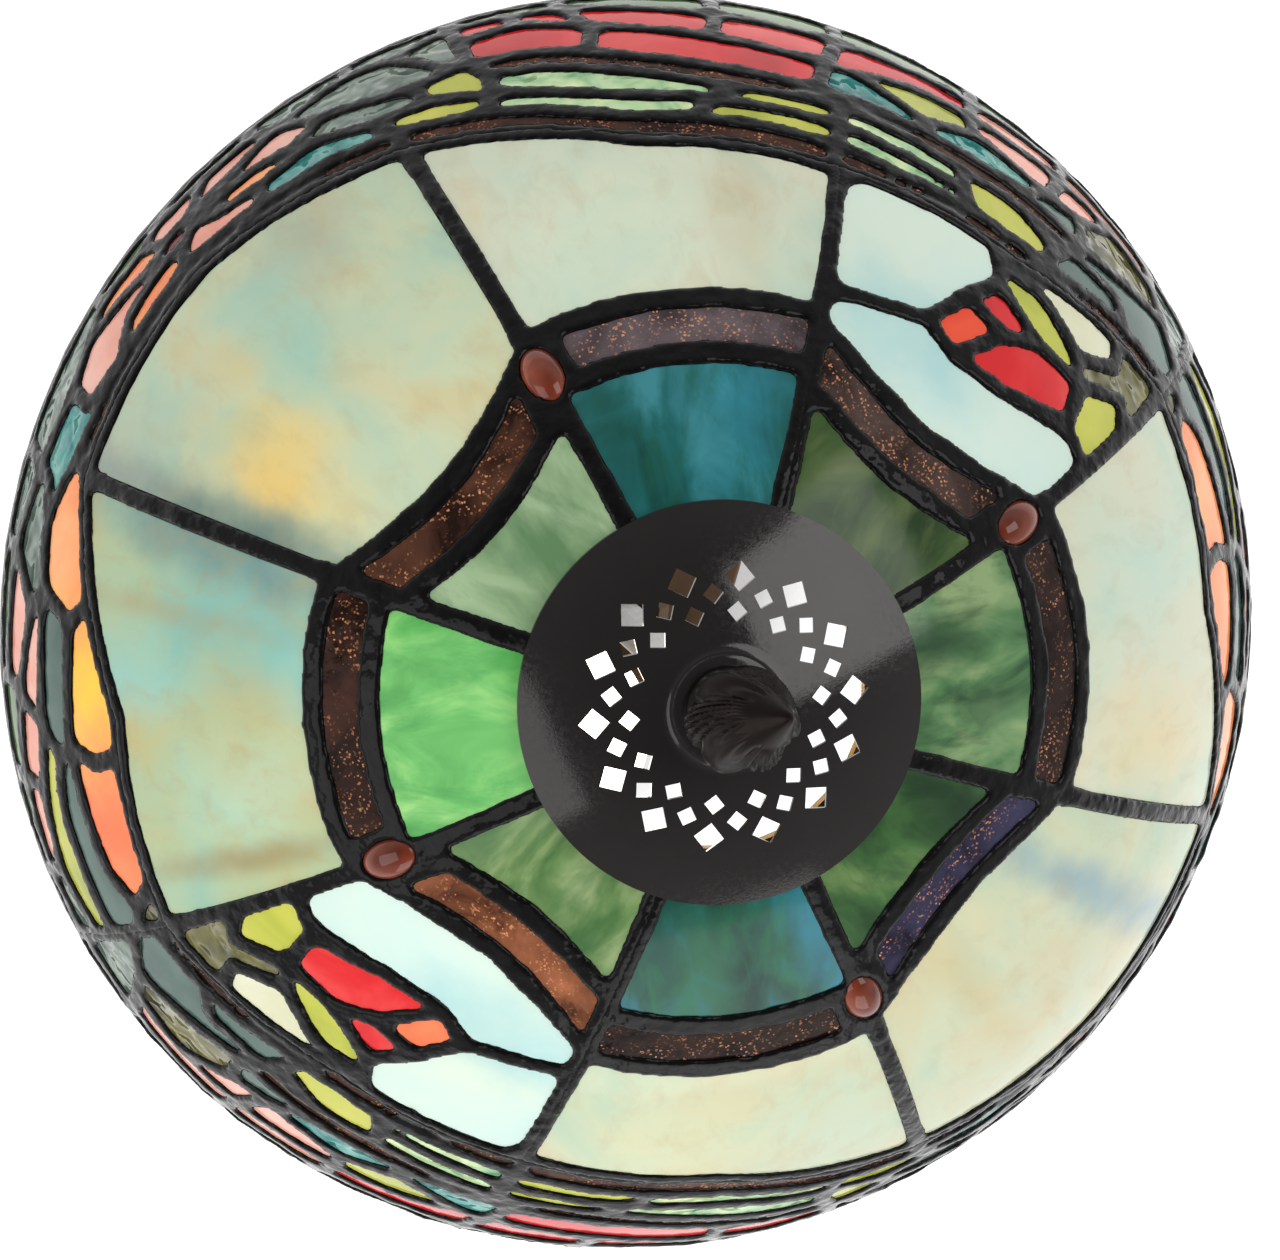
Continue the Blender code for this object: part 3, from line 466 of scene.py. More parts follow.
def jewel_outline(dome, boundary):
    """Oval round a jewel."""
    azimuth = (boundary - 0.5) * SECTOR
    fall = dome.fall_of_share(JEWEL_SHARE)
    angles = [FULL_TURN * side / JEWEL_SIDES for side in range(JEWEL_SIDES)]
    return [(azimuth + JEWEL_WIDE * math.cos(angle) / (dome.radius * math.sin(fall)),
             dome.move(fall, JEWEL_LONG * math.sin(angle))) for angle in angles]


# Bud in the pane at 45 degrees: azimuth in degrees and height above the rim in millimetres
BUD_PIECES = {
    "white": (((67.5, 95.9), (62, 99.3), (56, 101.7), (45, 103.5), (34, 101.7), (28, 99.3), (22.5, 95.9),
               (22.5, 84), (27, 82.5), (38, 89), (47, 90.5), (52.5, 87.5), (57, 89), (67.5, 91)),
              ((67.5, 91), (57, 89), (52.5, 87.5), (49, 79), (45.5, 71), (46.5, 66.8), (48, 63.1),
               (56, 63.8), (67.5, 64.7))),
    "red": (((47, 90.5), (38, 89), (28.5, 82), (30.5, 73.5), (38, 75.5), (42, 80)),
            ((49, 79), (42, 80), (38, 75.5), (45.5, 71))),
    "scarlet": (((52.5, 87.5), (47, 90.5), (42, 80), (49, 79)),),
    "lime": (((45.5, 71), (38, 75.5), (30.5, 73.5), (33, 69.5), (40, 65), (46.5, 66.8)),
             ((27, 82.5), (22.5, 84), (22.5, 70), (25.5, 64.5), (30.5, 73.5), (28.5, 82))),
    "cream": (((46.5, 66.8), (40, 65), (33, 69.5), (28.5, 61), (30, 54), (34, 56.4), (45, 62.9),
               (48, 63.1)),),
    "olive": (((33, 69.5), (30.5, 73.5), (25.5, 64.5), (22.5, 70), (22.5, 49.4), (30, 54), (28.5, 61)),),
}

# Skirt from 22.5 to 202.5 degrees, in the same two coordinates
SKIRT_PIECES = {
    "brown": (((112.5, 47), (101, 54.8), (90, 62.6), (78, 63.7), (68, 64.7), (68, 58.5), (78, 57.5),
               (90, 56.4), (101, 48.6), (104, 46.5), (112.5, 41)),
              ((102, 34), (97, 36), (88, 42.5), (79.5, 46.5), (68, 46), (68, 41.5), (79, 40.5),
               (88, 36.5), (97, 29.8), (103, 28)),
              ((68, 64.7), (56, 63.8), (45, 62.9), (43, 61.5), (42.5, 57), (51.5, 58.5), (60, 59.5),
               (68, 58.5)),
              ((43, 61.5), (34, 56.4), (22.5, 49.4), (22.5, 44.5), (30, 48.5), (34, 51), (42.5, 57)),
              ((68, 46), (60, 47), (54, 48), (47, 46.5), (40, 46), (38.5, 40.5), (48, 41), (58, 42),
               (68, 41.5)),
              ((112.5, 47), (124, 41), (130, 37.8), (127, 34.5), (118, 38.5), (112.5, 41)),
              ((130, 37.8), (135, 35.1), (146, 34.8), (157.5, 34.6), (156, 29), (146, 29.5), (136, 30),
               (127, 34.5))),
    "ripple": (((104, 46.5), (101, 48.6), (90, 56.4), (84, 57), (80.5, 51.5), (91, 49.5), (102, 41.5)),
               ((102, 41.5), (91, 49.5), (80.5, 51.5), (79.5, 46.5), (88, 42.5), (97, 36), (102, 34)),
               ((68, 58.5), (60, 59.5), (51.5, 58.5), (53, 54), (60, 53.5), (67.5, 52)),
               ((67.5, 52), (60, 53.5), (53, 54), (54, 48), (60, 47), (68, 46))),
    "lime": (((84, 57), (78, 57.5), (68, 58.5), (67.5, 52), (80.5, 51.5)),
             ((80.5, 51.5), (67.5, 52), (68, 46), (79.5, 46.5)),
             ((112.5, 41), (104, 46.5), (102, 41.5), (108, 36), (114, 34.5)),
             ((108, 36), (102, 41.5), (102, 34), (103, 28), (104.5, 27.5), (109, 29)),
             ((51.5, 58.5), (42.5, 57), (41, 51), (47, 46.5), (54, 48), (53, 54)),
             ((66, 30), (58.5, 38), (53, 31), (54, 24), (60, 25)),
             ((184.5, 31), (190, 27), (202.5, 27), (202.5, 19), (196, 15), (188, 20), (182, 25.5))),
    "olive": (((38.5, 40.5), (33, 35), (27, 28), (29, 20), (36, 19), (40, 31)),
              ((198, 50.1), (202.5, 49.4), (202.5, 38), (200, 42.5))),
    "teal": (((112.5, 41), (118, 38.5), (127, 34.5), (125.5, 29), (119, 28.5), (114, 34.5)),
             ((146, 29.5), (156, 29), (162.5, 23.5), (159.5, 20), (158.5, 14.5), (151, 16.5),
              (151.5, 26)),
             ((70, 41), (68, 41.5), (58, 42), (58.5, 38), (66, 30), (69, 30)),
             ((58, 42), (48, 41), (44, 34), (53, 31), (58.5, 38))),
    "deep_green": (((42.5, 57), (34, 51), (30, 48.5), (33, 43), (40, 46), (41, 51)),
                   ((30, 48.5), (22.5, 44.5), (22.5, 36), (27, 28), (33, 35), (38.5, 40.5), (40, 46),
                    (33, 43)),
                   ((48, 41), (38.5, 40.5), (40, 31), (44, 34)),
                   ((171.5, 38), (183.5, 36), (184.5, 31), (182, 25.5), (169, 26.5)),
                   ((183.5, 36), (187, 36), (196, 37), (200, 42.5), (202.5, 38), (202.5, 27), (190, 27),
                    (184.5, 31))),
    "mauve": (((114, 34.5), (119, 28.5), (121, 25), (117, 21.5), (109, 29), (108, 36)),
              ((109, 29), (117, 21.5), (121, 13), (113, 9), (109, 12), (104.5, 27.5)),
              ((103, 28), (104.5, 27.5), (109, 12), (103, 7), (103, 17)),
              ((143, 8), (147, 12.5), (151, 16.5), (158.5, 14.5), (157, 1.7), (143, 1.7)),
              ((162.5, 23.5), (169, 26.5), (171, 22), (166, 10), (158.5, 14.5), (159.5, 20)),
              ((196, 15), (202.5, 19), (202.5, 8), (196, 8)),
              ((29, 20), (27, 28), (22.5, 36), (22.5, 10), (31, 10)),
              ((103, 7), (109, 12), (113, 9), (113, 1.7), (103, 1.7)),
              ((121, 13), (123, 8.5), (123, 1.7), (113, 1.7), (113, 9)),
              ((166, 10), (158.5, 14.5), (157, 1.7), (166, 1.7)),
              ((43, 10), (31, 10), (31, 1.7), (43, 1.7)),
              ((31, 10), (22.5, 10), (22.5, 1.7), (31, 1.7))),
    "orange": (((157.5, 34.6), (169, 44), (171.5, 38), (169, 26.5), (162.5, 23.5), (156, 29)),
               ((169, 44), (180, 53), (184, 52.4), (185, 44), (183.5, 36), (171.5, 38)),
               ((184, 52.4), (198, 50.1), (200, 42.5), (196, 37), (187, 36), (183.5, 36), (185, 44)),
               ((132.5, 21), (126, 21.5), (121, 25), (119, 28.5), (125.5, 29), (130, 25.5)),
               ((134.5, 24), (136, 30), (146, 29.5), (142.5, 23), (137, 22.5)),
               ((137.5, 19), (141, 16), (147, 12.5), (143, 8), (137, 9.5), (135.5, 16.5))),
    "pink": (((132.5, 21), (132, 17), (127, 17.5), (121, 13), (117, 21.5), (121, 25), (126, 21.5)),
             ((134.5, 24), (132.5, 21), (130, 25.5), (125.5, 29), (127, 34.5), (136, 30)),
             ((137, 22.5), (142.5, 23), (146, 29.5), (151.5, 26), (151, 16.5), (147, 12.5), (141, 16),
              (137.5, 19)),
             ((132, 17), (129, 8), (123, 8.5), (121, 13), (127, 17.5)),
             ((135.5, 16.5), (137, 9.5), (135, 6.5), (129, 8), (132, 17)),
             ((169, 26.5), (182, 25.5), (179, 15), (171, 22)),
             ((182, 25.5), (188, 20), (187, 10), (179, 15)),
             ((171, 22), (179, 15), (178, 8), (166, 10)),
             ((188, 20), (196, 15), (196, 8), (187, 10)),
             ((53, 31), (44, 34), (43, 20), (54, 24)),
             ((44, 34), (40, 31), (36, 19), (43, 20)),
             ((54, 24), (43, 20), (43, 10), (53.5, 14)),
             ((43, 20), (36, 19), (29, 20), (31, 10), (43, 10))),
    "red": (((97, 29.8), (92, 33), (91, 22), (97, 15), (103, 17), (103, 28)),
            ((92, 33), (88, 36.5), (79, 40.5), (70, 41), (69, 30), (80, 27.5), (91, 22)),
            ((91, 22), (80, 27.5), (79, 15), (93, 10)),
            ((80, 27.5), (69, 30), (67.5, 16), (79, 15)),
            ((69, 30), (66, 30), (60, 25), (54, 24), (53.5, 14), (67.5, 16)),
            ((97, 15), (91, 22), (93, 10), (98, 8)),
            ((103, 17), (97, 15), (98, 8), (103, 7))),
    "moss": (((98, 8), (93, 10), (93, 1.7), (103, 1.7), (103, 7)),
             ((93, 10), (79, 15), (79, 1.7), (93, 1.7)),
             ((79, 15), (67.5, 16), (67.5, 1.7), (79, 1.7)),
             ((67.5, 16), (53.5, 14), (53.5, 1.7), (67.5, 1.7)),
             ((53.5, 14), (43, 10), (43, 1.7), (53.5, 1.7)),
             ((123, 8.5), (129, 8), (135, 6.5), (135, 1.7), (123, 1.7)),
             ((135, 6.5), (137, 9.5), (143, 8), (143, 1.7), (135, 1.7)),
             ((178, 8), (166, 10), (166, 1.7), (178, 1.7)),
             ((179, 15), (187, 10), (187, 1.7), (178, 1.7), (178, 8)),
             ((187, 10), (196, 8), (196, 1.7), (187, 1.7)),
             ((196, 8), (202.5, 8), (202.5, 1.7), (196, 1.7))),
    "eye": (((132.5, 21), (134.5, 24), (137, 22.5), (137.5, 19), (135.5, 16.5), (132, 17)),),
}


def half_turn_outlines(dome, seams, pieces):
    """Outlines of drawn pieces in both halves of the shade."""
    return [drawn_outline(dome, points, turn, seams.half_width)
            for turn in (0.0, HALF_TURN) for points in pieces]


def upper_outlines(dome, seams):
    """Every outline above the shoulder."""
    outlines = []
    for sector in range(SECTORS):
        outlines.append(crown_outline(dome, seams, sector))
        outlines.append(border_outline(dome, seams, sector))
        if sector % 4 != 1:
            outlines.append(pane_outline(dome, seams, sector))
    for boundary in range(1, SECTORS, 2):
        outlines.append(jewel_outline(dome, boundary))
    for pieces in BUD_PIECES.values():
        outlines += half_turn_outlines(dome, seams, pieces)
    return outlines


def skirt_outlines(dome, seams):
    """Every outline below the shoulder."""
    outlines = []
    for pieces in SKIRT_PIECES.values():
        outlines += half_turn_outlines(dome, seams, pieces)
    return outlines


# Materials
class Tree:
    """A node tree with short ways to add to it."""

    def __init__(self, tree):
        self.tree = tree

    def feed(self, socket, value):
        """Link an output to a socket, or set the socket's value."""
        if isinstance(value, bpy.types.NodeSocket):
            self.tree.links.new(value, socket)
        else:
            socket.default_value = value

    def add(self, kind, inputs=None, **settings):
        """A node with its settings and inputs, where an input may be another node's output."""
        made = set_all(self.tree.nodes.new(kind), **settings)
        for name, value in (inputs or {}).items():
            self.feed(made.inputs[name], value)
        return made

    def number(self, operation, first, second):
        """Result of a sum with two numbers."""
        return self.add("ShaderNodeMath", {0: first, 1: second}, operation=operation).outputs["Value"]

    def vector(self, operation, *values, result="Vector"):
        """Result of a sum with vectors."""
        return self.add("ShaderNodeVectorMath", dict(enumerate(values)),
                        operation=operation).outputs[result]

    def span(self, value, given, wanted, **settings):
        """A value moved from one range to another."""
        ends = zip(("From Min", "From Max", "To Min", "To Max"), (*given, *wanted))
        return self.add("ShaderNodeMapRange", {"Value": value, **dict(ends)}, **settings).outputs["Result"]


class Nodes(Tree):
    """A material's node tree."""

    def __init__(self, name):
        self.material = bpy.data.materials.new(name)
        self.material.use_nodes = True
        super().__init__(self.material.node_tree)

    def set(self, **inputs):
        """Shader inputs, with underscores for spaces."""
        shader = self.tree.nodes["Principled BSDF"]
        for name, value in inputs.items():
            self.feed(shader.inputs[name.replace("_", " ")], value)

    def here(self):
        """Object coordinates."""
        return self.add("ShaderNodeTexCoord").outputs["Object"]

    def place(self, stretch=(1, 1, 1), turn=0.0, move=(0, 0, 0)):
        """Object coordinates in which a pattern is stretched, then turned about Z and moved."""
        return self.add("ShaderNodeMapping", {"Vector": self.here(), "Scale": stretch,
                                              "Rotation": (0, 0, turn), "Location": move},
                        vector_type="TEXTURE").outputs["Vector"]

    def noise(self, place, scale, detail=3.0, rough=0.5, bend=0.0, result="Fac"):
        """Noise value or colour."""
        return self.add("ShaderNodeTexNoise", {"Vector": place, "Scale": scale, "Detail": detail,
                                               "Roughness": rough, "Distortion": bend}
                        ).outputs[result]

    def ramp(self, value, rows):
        """Colours by value."""
        made = self.add("ShaderNodeValToRGB", {"Fac": value})
        elements = made.color_ramp.elements
        while len(elements) < len(rows):
            elements.new(0.5)
        for element, (position, shade) in zip(elements, rows):
            element.position = position
            element.color = (*shade, 1.0)
        return made.outputs["Color"]

    def mix(self, share, shade, tint):
        """A colour with a share of a tint."""
        return self.add("ShaderNodeMix", {0: share, 6: shade, 7: (*tint, 1.0)},
                        data_type="RGBA").outputs[2]

    def bump(self, height, strength, distance):
        """Surface normal from a height."""
        self.set(Normal=self.add("ShaderNodeBump", {"Height": height, "Strength": strength,
                                                    "Distance": distance}).outputs["Normal"])

    def glow(self, shade, strength):
        """Light of the bulb in the glass, strongest near the bulb."""
        away = self.vector("DISTANCE", self.here(), BULB_MIDDLE, result="Value")
        self.set(Emission_Color=shade, Emission_Strength=self.span(
            away, GLOW_REACH, (strength * GLOW_NEAR, strength * GLOW_FAR)))


BULB_MIDDLE = node_middle("bulb_glass")
SHADE_RADIUS = node_high("came_web").x
GLOW_REACH = (0.045, 0.135)
GLOW_NEAR = 1.4
GLOW_FAR = 0.5


def opal_glass(name, rows, scale, stretch=(1, 1, 1), turn=0.0, move=(0, 0, 0), glow=0.3, streak=None,
               patches=()):
    """Smooth glass with clouds, fine streaks and patches of another colour."""
    nodes = Nodes(name)
    shade = nodes.ramp(nodes.noise(nodes.place(stretch, turn, move), scale, detail=4.0, bend=0.6), rows)
    for patch in patches:
        shade = colour_patch(nodes, shade, *patch)
    if streak:
        tint, along, amount = streak
        fine = nodes.noise(nodes.place(along, turn, move), 95.0, detail=6.0, rough=0.62, bend=0.4)
        shade = nodes.mix(nodes.span(fine, (0.50, 0.74), (0.0, amount)), shade, linear(*tint))
    nodes.set(Base_Color=shade, Roughness=0.12, Specular_IOR_Level=0.25)
    nodes.glow(shade, glow)
    nodes.bump(nodes.noise(nodes.place(), 60.0, detail=2.0), strength=0.08, distance=0.002)
    return nodes.material


def colour_patch(nodes, shade, azimuth, share, radial, crosswise, amount, tint):
    """Mix a tint in softly round a place on the shade, out to a radial and a crosswise size."""
    turn = math.radians(azimuth)
    middle = Vector((math.cos(turn), math.sin(turn), 0)) * share * SHADE_RADIUS
    middle.z = node_middle("came_web").z
    drift = nodes.vector("SUBTRACT", nodes.noise(nodes.place(), 55.0, detail=4.0, rough=0.55,
                                                 result="Color"), (0.5, 0.5, 0.5))
    near = nodes.place((radial, crosswise, SHADE_RADIUS), turn, middle)
    away = nodes.vector("LENGTH", nodes.vector("ADD", near, drift), result="Value")
    reach = nodes.span(away, (0.0, 1.0), (amount, 0.0), interpolation_type="SMOOTHSTEP")
    return nodes.mix(reach, shade, linear(*tint))


def ripple_glass(name, rows, glow):
    """Glass with a strong ripple pressed into it."""
    nodes = Nodes(name)
    place = nodes.place()
    shade = nodes.ramp(nodes.noise(place, 90.0, bend=0.6), rows)
    nodes.set(Base_Color=shade, Roughness=0.12, Specular_IOR_Level=0.4)
    nodes.glow(shade, glow)
    nodes.bump(nodes.noise(place, 170.0, detail=1.0, rough=0.4, bend=0.4), strength=0.7, distance=0.003)
    return nodes.material


def flecked_glass(name, dark, copper):
    """Dark glass with copper clouds and fine copper flecks."""
    nodes = Nodes(name)
    place = nodes.place()
    base, cloud = linear(*dark), linear(*copper)
    between = tuple((a + b) / 2 for a, b in zip(base, cloud))
    shade = nodes.ramp(nodes.noise(place, 60.0, detail=5.0, rough=0.6, bend=0.6),
                       ((0.38, base), (0.52, between), (0.72, cloud)))
    cells = nodes.add("ShaderNodeTexVoronoi", {"Vector": place, "Scale": 2300.0}).outputs["Color"]
    pick = nodes.add("ShaderNodeSeparateColor", {"Color": cells}).outputs["Red"]
    few = nodes.span(pick, (0.86, 0.98), (0.0, 1.0))
    patchy = nodes.span(nodes.noise(place, 140.0), (0.42, 0.66), (0.0, 1.0))
    shade = nodes.mix(nodes.number("MULTIPLY", few, patchy), shade, linear(*FLECKS))
    nodes.set(Base_Color=shade, Roughness=0.10, Specular_IOR_Level=0.06)
    nodes.glow(shade, 0.16)
    nodes.bump(nodes.noise(place, 150.0), strength=0.35, distance=0.002)
    return nodes.material


def solder_material(colours):
    """Black patina over lumpy solder, with worn grey crests."""
    nodes = Nodes("black_solder_seams")
    place = nodes.place()
    dark = tuple(colours.solder)
    worn = tuple(value * 2.2 for value in dark)
    shade = nodes.ramp(nodes.noise(place, 90.0, detail=5.0, rough=0.65), ((0.50, dark), (0.74, worn)))
    nodes.set(Base_Color=shade, Metallic=0.0, Specular_IOR_Level=0.14,
              Roughness=nodes.span(nodes.noise(place, 150.0), (0.3, 0.7), (0.06, 0.22)))
    nodes.bump(nodes.noise(place, 260.0, detail=2.0), strength=0.28, distance=0.0014)
    return nodes.material


def metal_material(name, shade, rough, grain=300.0, metal=0.9, mottle=1.5):
    """Satin metal with a faint grain and mottled colour."""
    nodes = Nodes(name)
    place = nodes.place()
    lighter = tuple(min(1.0, value * mottle) for value in shade)
    mottled = nodes.ramp(nodes.noise(place, 40.0, detail=4.0, rough=0.6),
                         ((0.35, tuple(shade)), (0.70, lighter)))
    worn = nodes.span(nodes.noise(place, grain, detail=2.0), (0.3, 0.7), (rough - 0.05, rough + 0.07))
    nodes.set(Base_Color=mottled, Metallic=metal, Roughness=worn)
    nodes.bump(nodes.noise(place, grain * 2, detail=2.0), strength=0.02, distance=0.0006)
    return nodes.material


def plain_finish(name, shade, rough, grain=500.0, depth=0.1):
    """Moulded or pressed finish with a fine grain."""
    nodes = Nodes(name)
    fine = nodes.noise(nodes.place(), grain)
    lighter = tuple(min(1.0, value * 1.35) for value in shade)
    nodes.set(Base_Color=nodes.ramp(fine, ((0.3, tuple(shade)), (0.7, lighter))), Metallic=0.0,
              Roughness=rough)
    nodes.bump(fine, strength=depth, distance=0.0006)
    return nodes.material


def dress_nodes(material, *nodes):
    """Give frame nodes a better material."""
    for node in nodes:
        made = bpy.data.objects[node]
        if not made.material_slots:
            made.data.materials.append(material)
        for slot in made.material_slots:
            slot.material = material


# Colours of the glass, as display values
CROWN_STOPS = (
    stops((0.32, 38, 74, 46), (0.48, 82, 122, 78), (0.66, 134, 158, 110)),
    stops((0.32, 32, 54, 26), (0.50, 56, 80, 40), (0.68, 88, 102, 58)),
    stops((0.32, 14, 62, 58), (0.50, 28, 96, 98), (0.68, 56, 126, 134)),
    stops((0.32, 90, 124, 86), (0.50, 124, 152, 112), (0.68, 152, 176, 138)),
    stops((0.32, 70, 148, 70), (0.50, 100, 178, 92), (0.68, 144, 204, 118)),
    stops((0.32, 54, 94, 50), (0.50, 98, 128, 76), (0.68, 148, 166, 116)),
    stops((0.32, 10, 52, 44), (0.50, 26, 80, 68), (0.68, 32, 104, 122)),
    stops((0.32, 34, 66, 34), (0.50, 60, 98, 52), (0.68, 98, 126, 74)),
)
CROWN_STREAKS = ((34, 62, 40), (88, 104, 60), (24, 84, 62), (88, 120, 88), (64, 148, 72), (54, 100, 58),
                 (30, 104, 66), (36, 66, 38))
CREAM_STOPS = stops((0.30, 186, 210, 190), (0.48, 208, 216, 192), (0.62, 214, 214, 188),
                    (0.78, 216, 200, 156))
OPAL_STOPS = stops((0.28, 160, 194, 178), (0.42, 184, 206, 178), (0.54, 198, 208, 174),
                   (0.68, 206, 200, 156))
STREAKED_STOPS = stops((0.28, 148, 190, 170), (0.42, 170, 194, 158), (0.54, 182, 190, 144),
                       (0.70, 190, 178, 124))
PALE_STOPS = stops((0.30, 196, 224, 218), (0.48, 208, 230, 219), (0.68, 217, 231, 212))
WARM_STOPS = stops((0.30, 180, 202, 176), (0.48, 200, 206, 174), (0.62, 204, 200, 164),
                   (0.78, 208, 190, 142))
JEWEL_STOPS = stops((0.3, 84, 32, 20), (0.6, 124, 54, 32), (0.8, 156, 80, 48))
PANES = {0: ("glass_cream", CREAM_STOPS), 2: ("glass_cream", CREAM_STOPS), 3: ("glass_opal", OPAL_STOPS),
         4: ("glass_streaked", STREAKED_STOPS), 6: ("glass_cream", WARM_STOPS),
         7: ("glass_cream", WARM_STOPS)}

# Border strips: dark colour and colour of the copper clouds
BORDER_COLOURS = (((26, 19, 18), (62, 48, 45)), ((40, 30, 28), (92, 75, 69)),
                  ((62, 54, 58), (112, 100, 103)), ((34, 20, 16), (94, 60, 45)),
                  ((20, 11, 9), (74, 44, 33)), ((62, 34, 22), (168, 104, 72)),
                  ((18, 11, 9), (58, 38, 29)), ((30, 28, 42), (64, 62, 88)))
FLECKS = (222, 150, 104)

# Patches: azimuth in degrees, share of the radius, radial and crosswise size, amount, colour
GOLD = (234, 202, 116)
TEAL = (114, 186, 182)
TAN = (176, 146, 92)
CROWN_PATCHES = {
    0: ((8, 0.34, 0.020, 0.010, 0.8, (36, 62, 42)), (-12, 0.42, 0.020, 0.012, 0.5, (128, 160, 112))),
    2: ((106, 0.42, 0.030, 0.014, 0.7, (16, 66, 52)), (80, 0.42, 0.026, 0.014, 0.7, (48, 134, 152))),
    5: ((236, 0.36, 0.030, 0.012, 0.5, (50, 92, 52)),),
    6: ((290, 0.38, 0.030, 0.010, 0.8, (40, 130, 152)), (264, 0.42, 0.030, 0.012, 0.6, (44, 110, 66))),
    7: ((332, 0.40, 0.040, 0.010, 0.8, (22, 44, 28)),),
}
PANE_PATCHES = {
    0: ((346, 0.72, 0.030, 0.022, 0.5, (232, 202, 140)), (8, 0.70, 0.030, 0.026, 0.5, (188, 218, 204))),
    2: ((79, 0.72, 0.040, 0.010, 0.3, TAN), (94, 0.68, 0.034, 0.044, 0.6, (222, 231, 204))),
    3: ((147.5, 0.68, 0.028, 0.024, 0.75, GOLD), (150, 0.68, 0.012, 0.010, 0.4, (244, 192, 84)),
        (126, 0.84, 0.016, 0.022, 0.6, (170, 168, 144)), (134, 0.76, 0.030, 0.018, 0.6, (142, 198, 184)),
        (150, 0.84, 0.026, 0.020, 0.5, (160, 190, 172)), (132, 0.66, 0.016, 0.012, 0.4, (226, 202, 146)),
        (156.5, 0.70, 0.075, 0.012, 0.85, (84, 112, 112)),
        (156.5, 0.92, 0.022, 0.020, 0.6, (150, 158, 156))),
    4: ((168, 0.64, 0.036, 0.026, 0.85, TEAL), (176, 0.82, 0.022, 0.016, 0.7, (142, 206, 200)),
        (159.5, 0.70, 0.070, 0.012, 0.7, (70, 124, 140)), (168, 0.78, 0.040, 0.005, 0.4, TAN),
        (181, 0.78, 0.030, 0.014, 0.3, (206, 184, 116)), (176, 0.66, 0.016, 0.016, 0.35, (204, 180, 112)),
        (189, 0.68, 0.024, 0.018, 0.6, (186, 216, 190)), (197, 0.68, 0.040, 0.006, 0.6, (150, 118, 70))),
    6: ((262, 0.72, 0.030, 0.034, 0.4, (216, 218, 172)), (284, 0.74, 0.030, 0.024, 0.4, (186, 216, 198))),
    7: ((307, 0.58, 0.060, 0.010, 0.5, (206, 178, 118)), (316, 0.50, 0.020, 0.020, 0.4, (222, 206, 160)),
        (326.5, 0.70, 0.085, 0.010, 0.9, (138, 168, 176))),
}
PALE_PATCHES = tuple((azimuth + turn, 0.59, 0.018, 0.020, 0.6, (142, 200, 206))
                     for turn in (0, 180) for azimuth in (48, 60))
ORANGE_PATCHES = ((177, 0.88, 0.080, 0.028, 1.0, (254, 196, 58)),
                  (192, 0.87, 0.080, 0.028, 0.9, (248, 108, 62)))

# Small pieces: name of the glass, and its dark, middle and light colour
PLAIN_GLASS = {
    "red": ("red_glass", (186, 20, 27), (216, 34, 38), (232, 78, 75)),
    "scarlet": ("scarlet_glass", (226, 66, 44), (240, 92, 58), (248, 128, 84)),
    "moss": ("moss_glass", (64, 92, 60), (92, 120, 78), (124, 146, 98)),
    "lime": ("lime_glass", (150, 156, 50), (186, 190, 72), (206, 204, 92)),
    "cream": ("cream_sliver_glass", (206, 206, 170), (218, 218, 186), (226, 226, 200)),
    "deep_green": ("deep_green_glass", (52, 78, 72), (72, 98, 90), (90, 114, 104)),
    "pink": ("pink_glass", (228, 142, 122), (240, 166, 146), (246, 190, 172)),
    "eye": ("dark_red_glass", (78, 14, 22), (104, 20, 30), (132, 34, 44)),
}

# Rippled pieces: name of the glass, stops of its colours and its glow
RIPPLE_GLASS = {
    "olive": ("olive_glass", stops((0.3, 58, 58, 34), (0.6, 112, 108, 62), (0.8, 150, 146, 92)), 0.3),
    "ripple": ("green_ripple_glass",
               stops((0.3, 96, 152, 106), (0.5, 170, 202, 150), (0.7, 218, 228, 172)), 0.5),
    "teal": ("teal_ripple_glass",
             stops((0.3, 30, 110, 108), (0.5, 70, 150, 144), (0.75, 134, 186, 170)), 0.3),
    "mauve": ("grey_ripple_glass",
              stops((0.3, 72, 88, 80), (0.5, 104, 122, 110), (0.75, 140, 152, 134)), 0.3),
}


def colour_glass():
    """Glass of the small pieces, by the name of its colour."""
    def plain(name, dark, middle, light, **changes):
        return opal_glass(name, stops((0.3, *dark), (0.5, *middle), (0.7, *light)), 34.0, **changes)
    glass = {key: plain(*row) for key, row in PLAIN_GLASS.items()}
    glass["orange"] = plain("orange_glass", (240, 132, 80), (248, 158, 100), (251, 182, 122), glow=0.42,
                            patches=ORANGE_PATCHES)
    glass["white"] = opal_glass("pale_blue_glass", PALE_STOPS, 14.0, glow=0.26, patches=PALE_PATCHES)
    glass["brown"] = flecked_glass("brown_flecked_glass", (38, 22, 18), (88, 56, 42))
    glass.update((key, ripple_glass(*row)) for key, row in RIPPLE_GLASS.items())
    return glass


# Operators
class LampOperator:
    """What every operator here shares."""
    bl_options = {"REGISTER", "UNDO"}

    def sizes(self, context):
        """The dome and the seams."""
        return Dome(context.scene.lamp_dome), context.scene.lamp_seams


class LAMP_OT_crown_glass(LampOperator, bpy.types.Operator):
    """Green and teal panels round the cap"""
    bl_idname = "lamp.crown_glass"
    bl_label = "Crown Glass"

    def execute(self, context):
        dome, seams = self.sizes(context)
        for sector in range(SECTORS):
            name = f"crown_glass_{sector}"
            material = opal_glass(name, CROWN_STOPS[sector], scale=75.0, stretch=(2.2, 0.9, 1.0),
                                  turn=sector * SECTOR, move=(0.3 * sector, 0, 0), glow=0.26,
                                  streak=(CROWN_STREAKS[sector], (3.0, 0.8, 1.0), 0.8),
                                  patches=CROWN_PATCHES.get(sector, ()))
            glass_object(name, [crown_outline(dome, seams, sector)], dome, material,
                         [f"crown_panel_{sector}"])
        return {"FINISHED"}


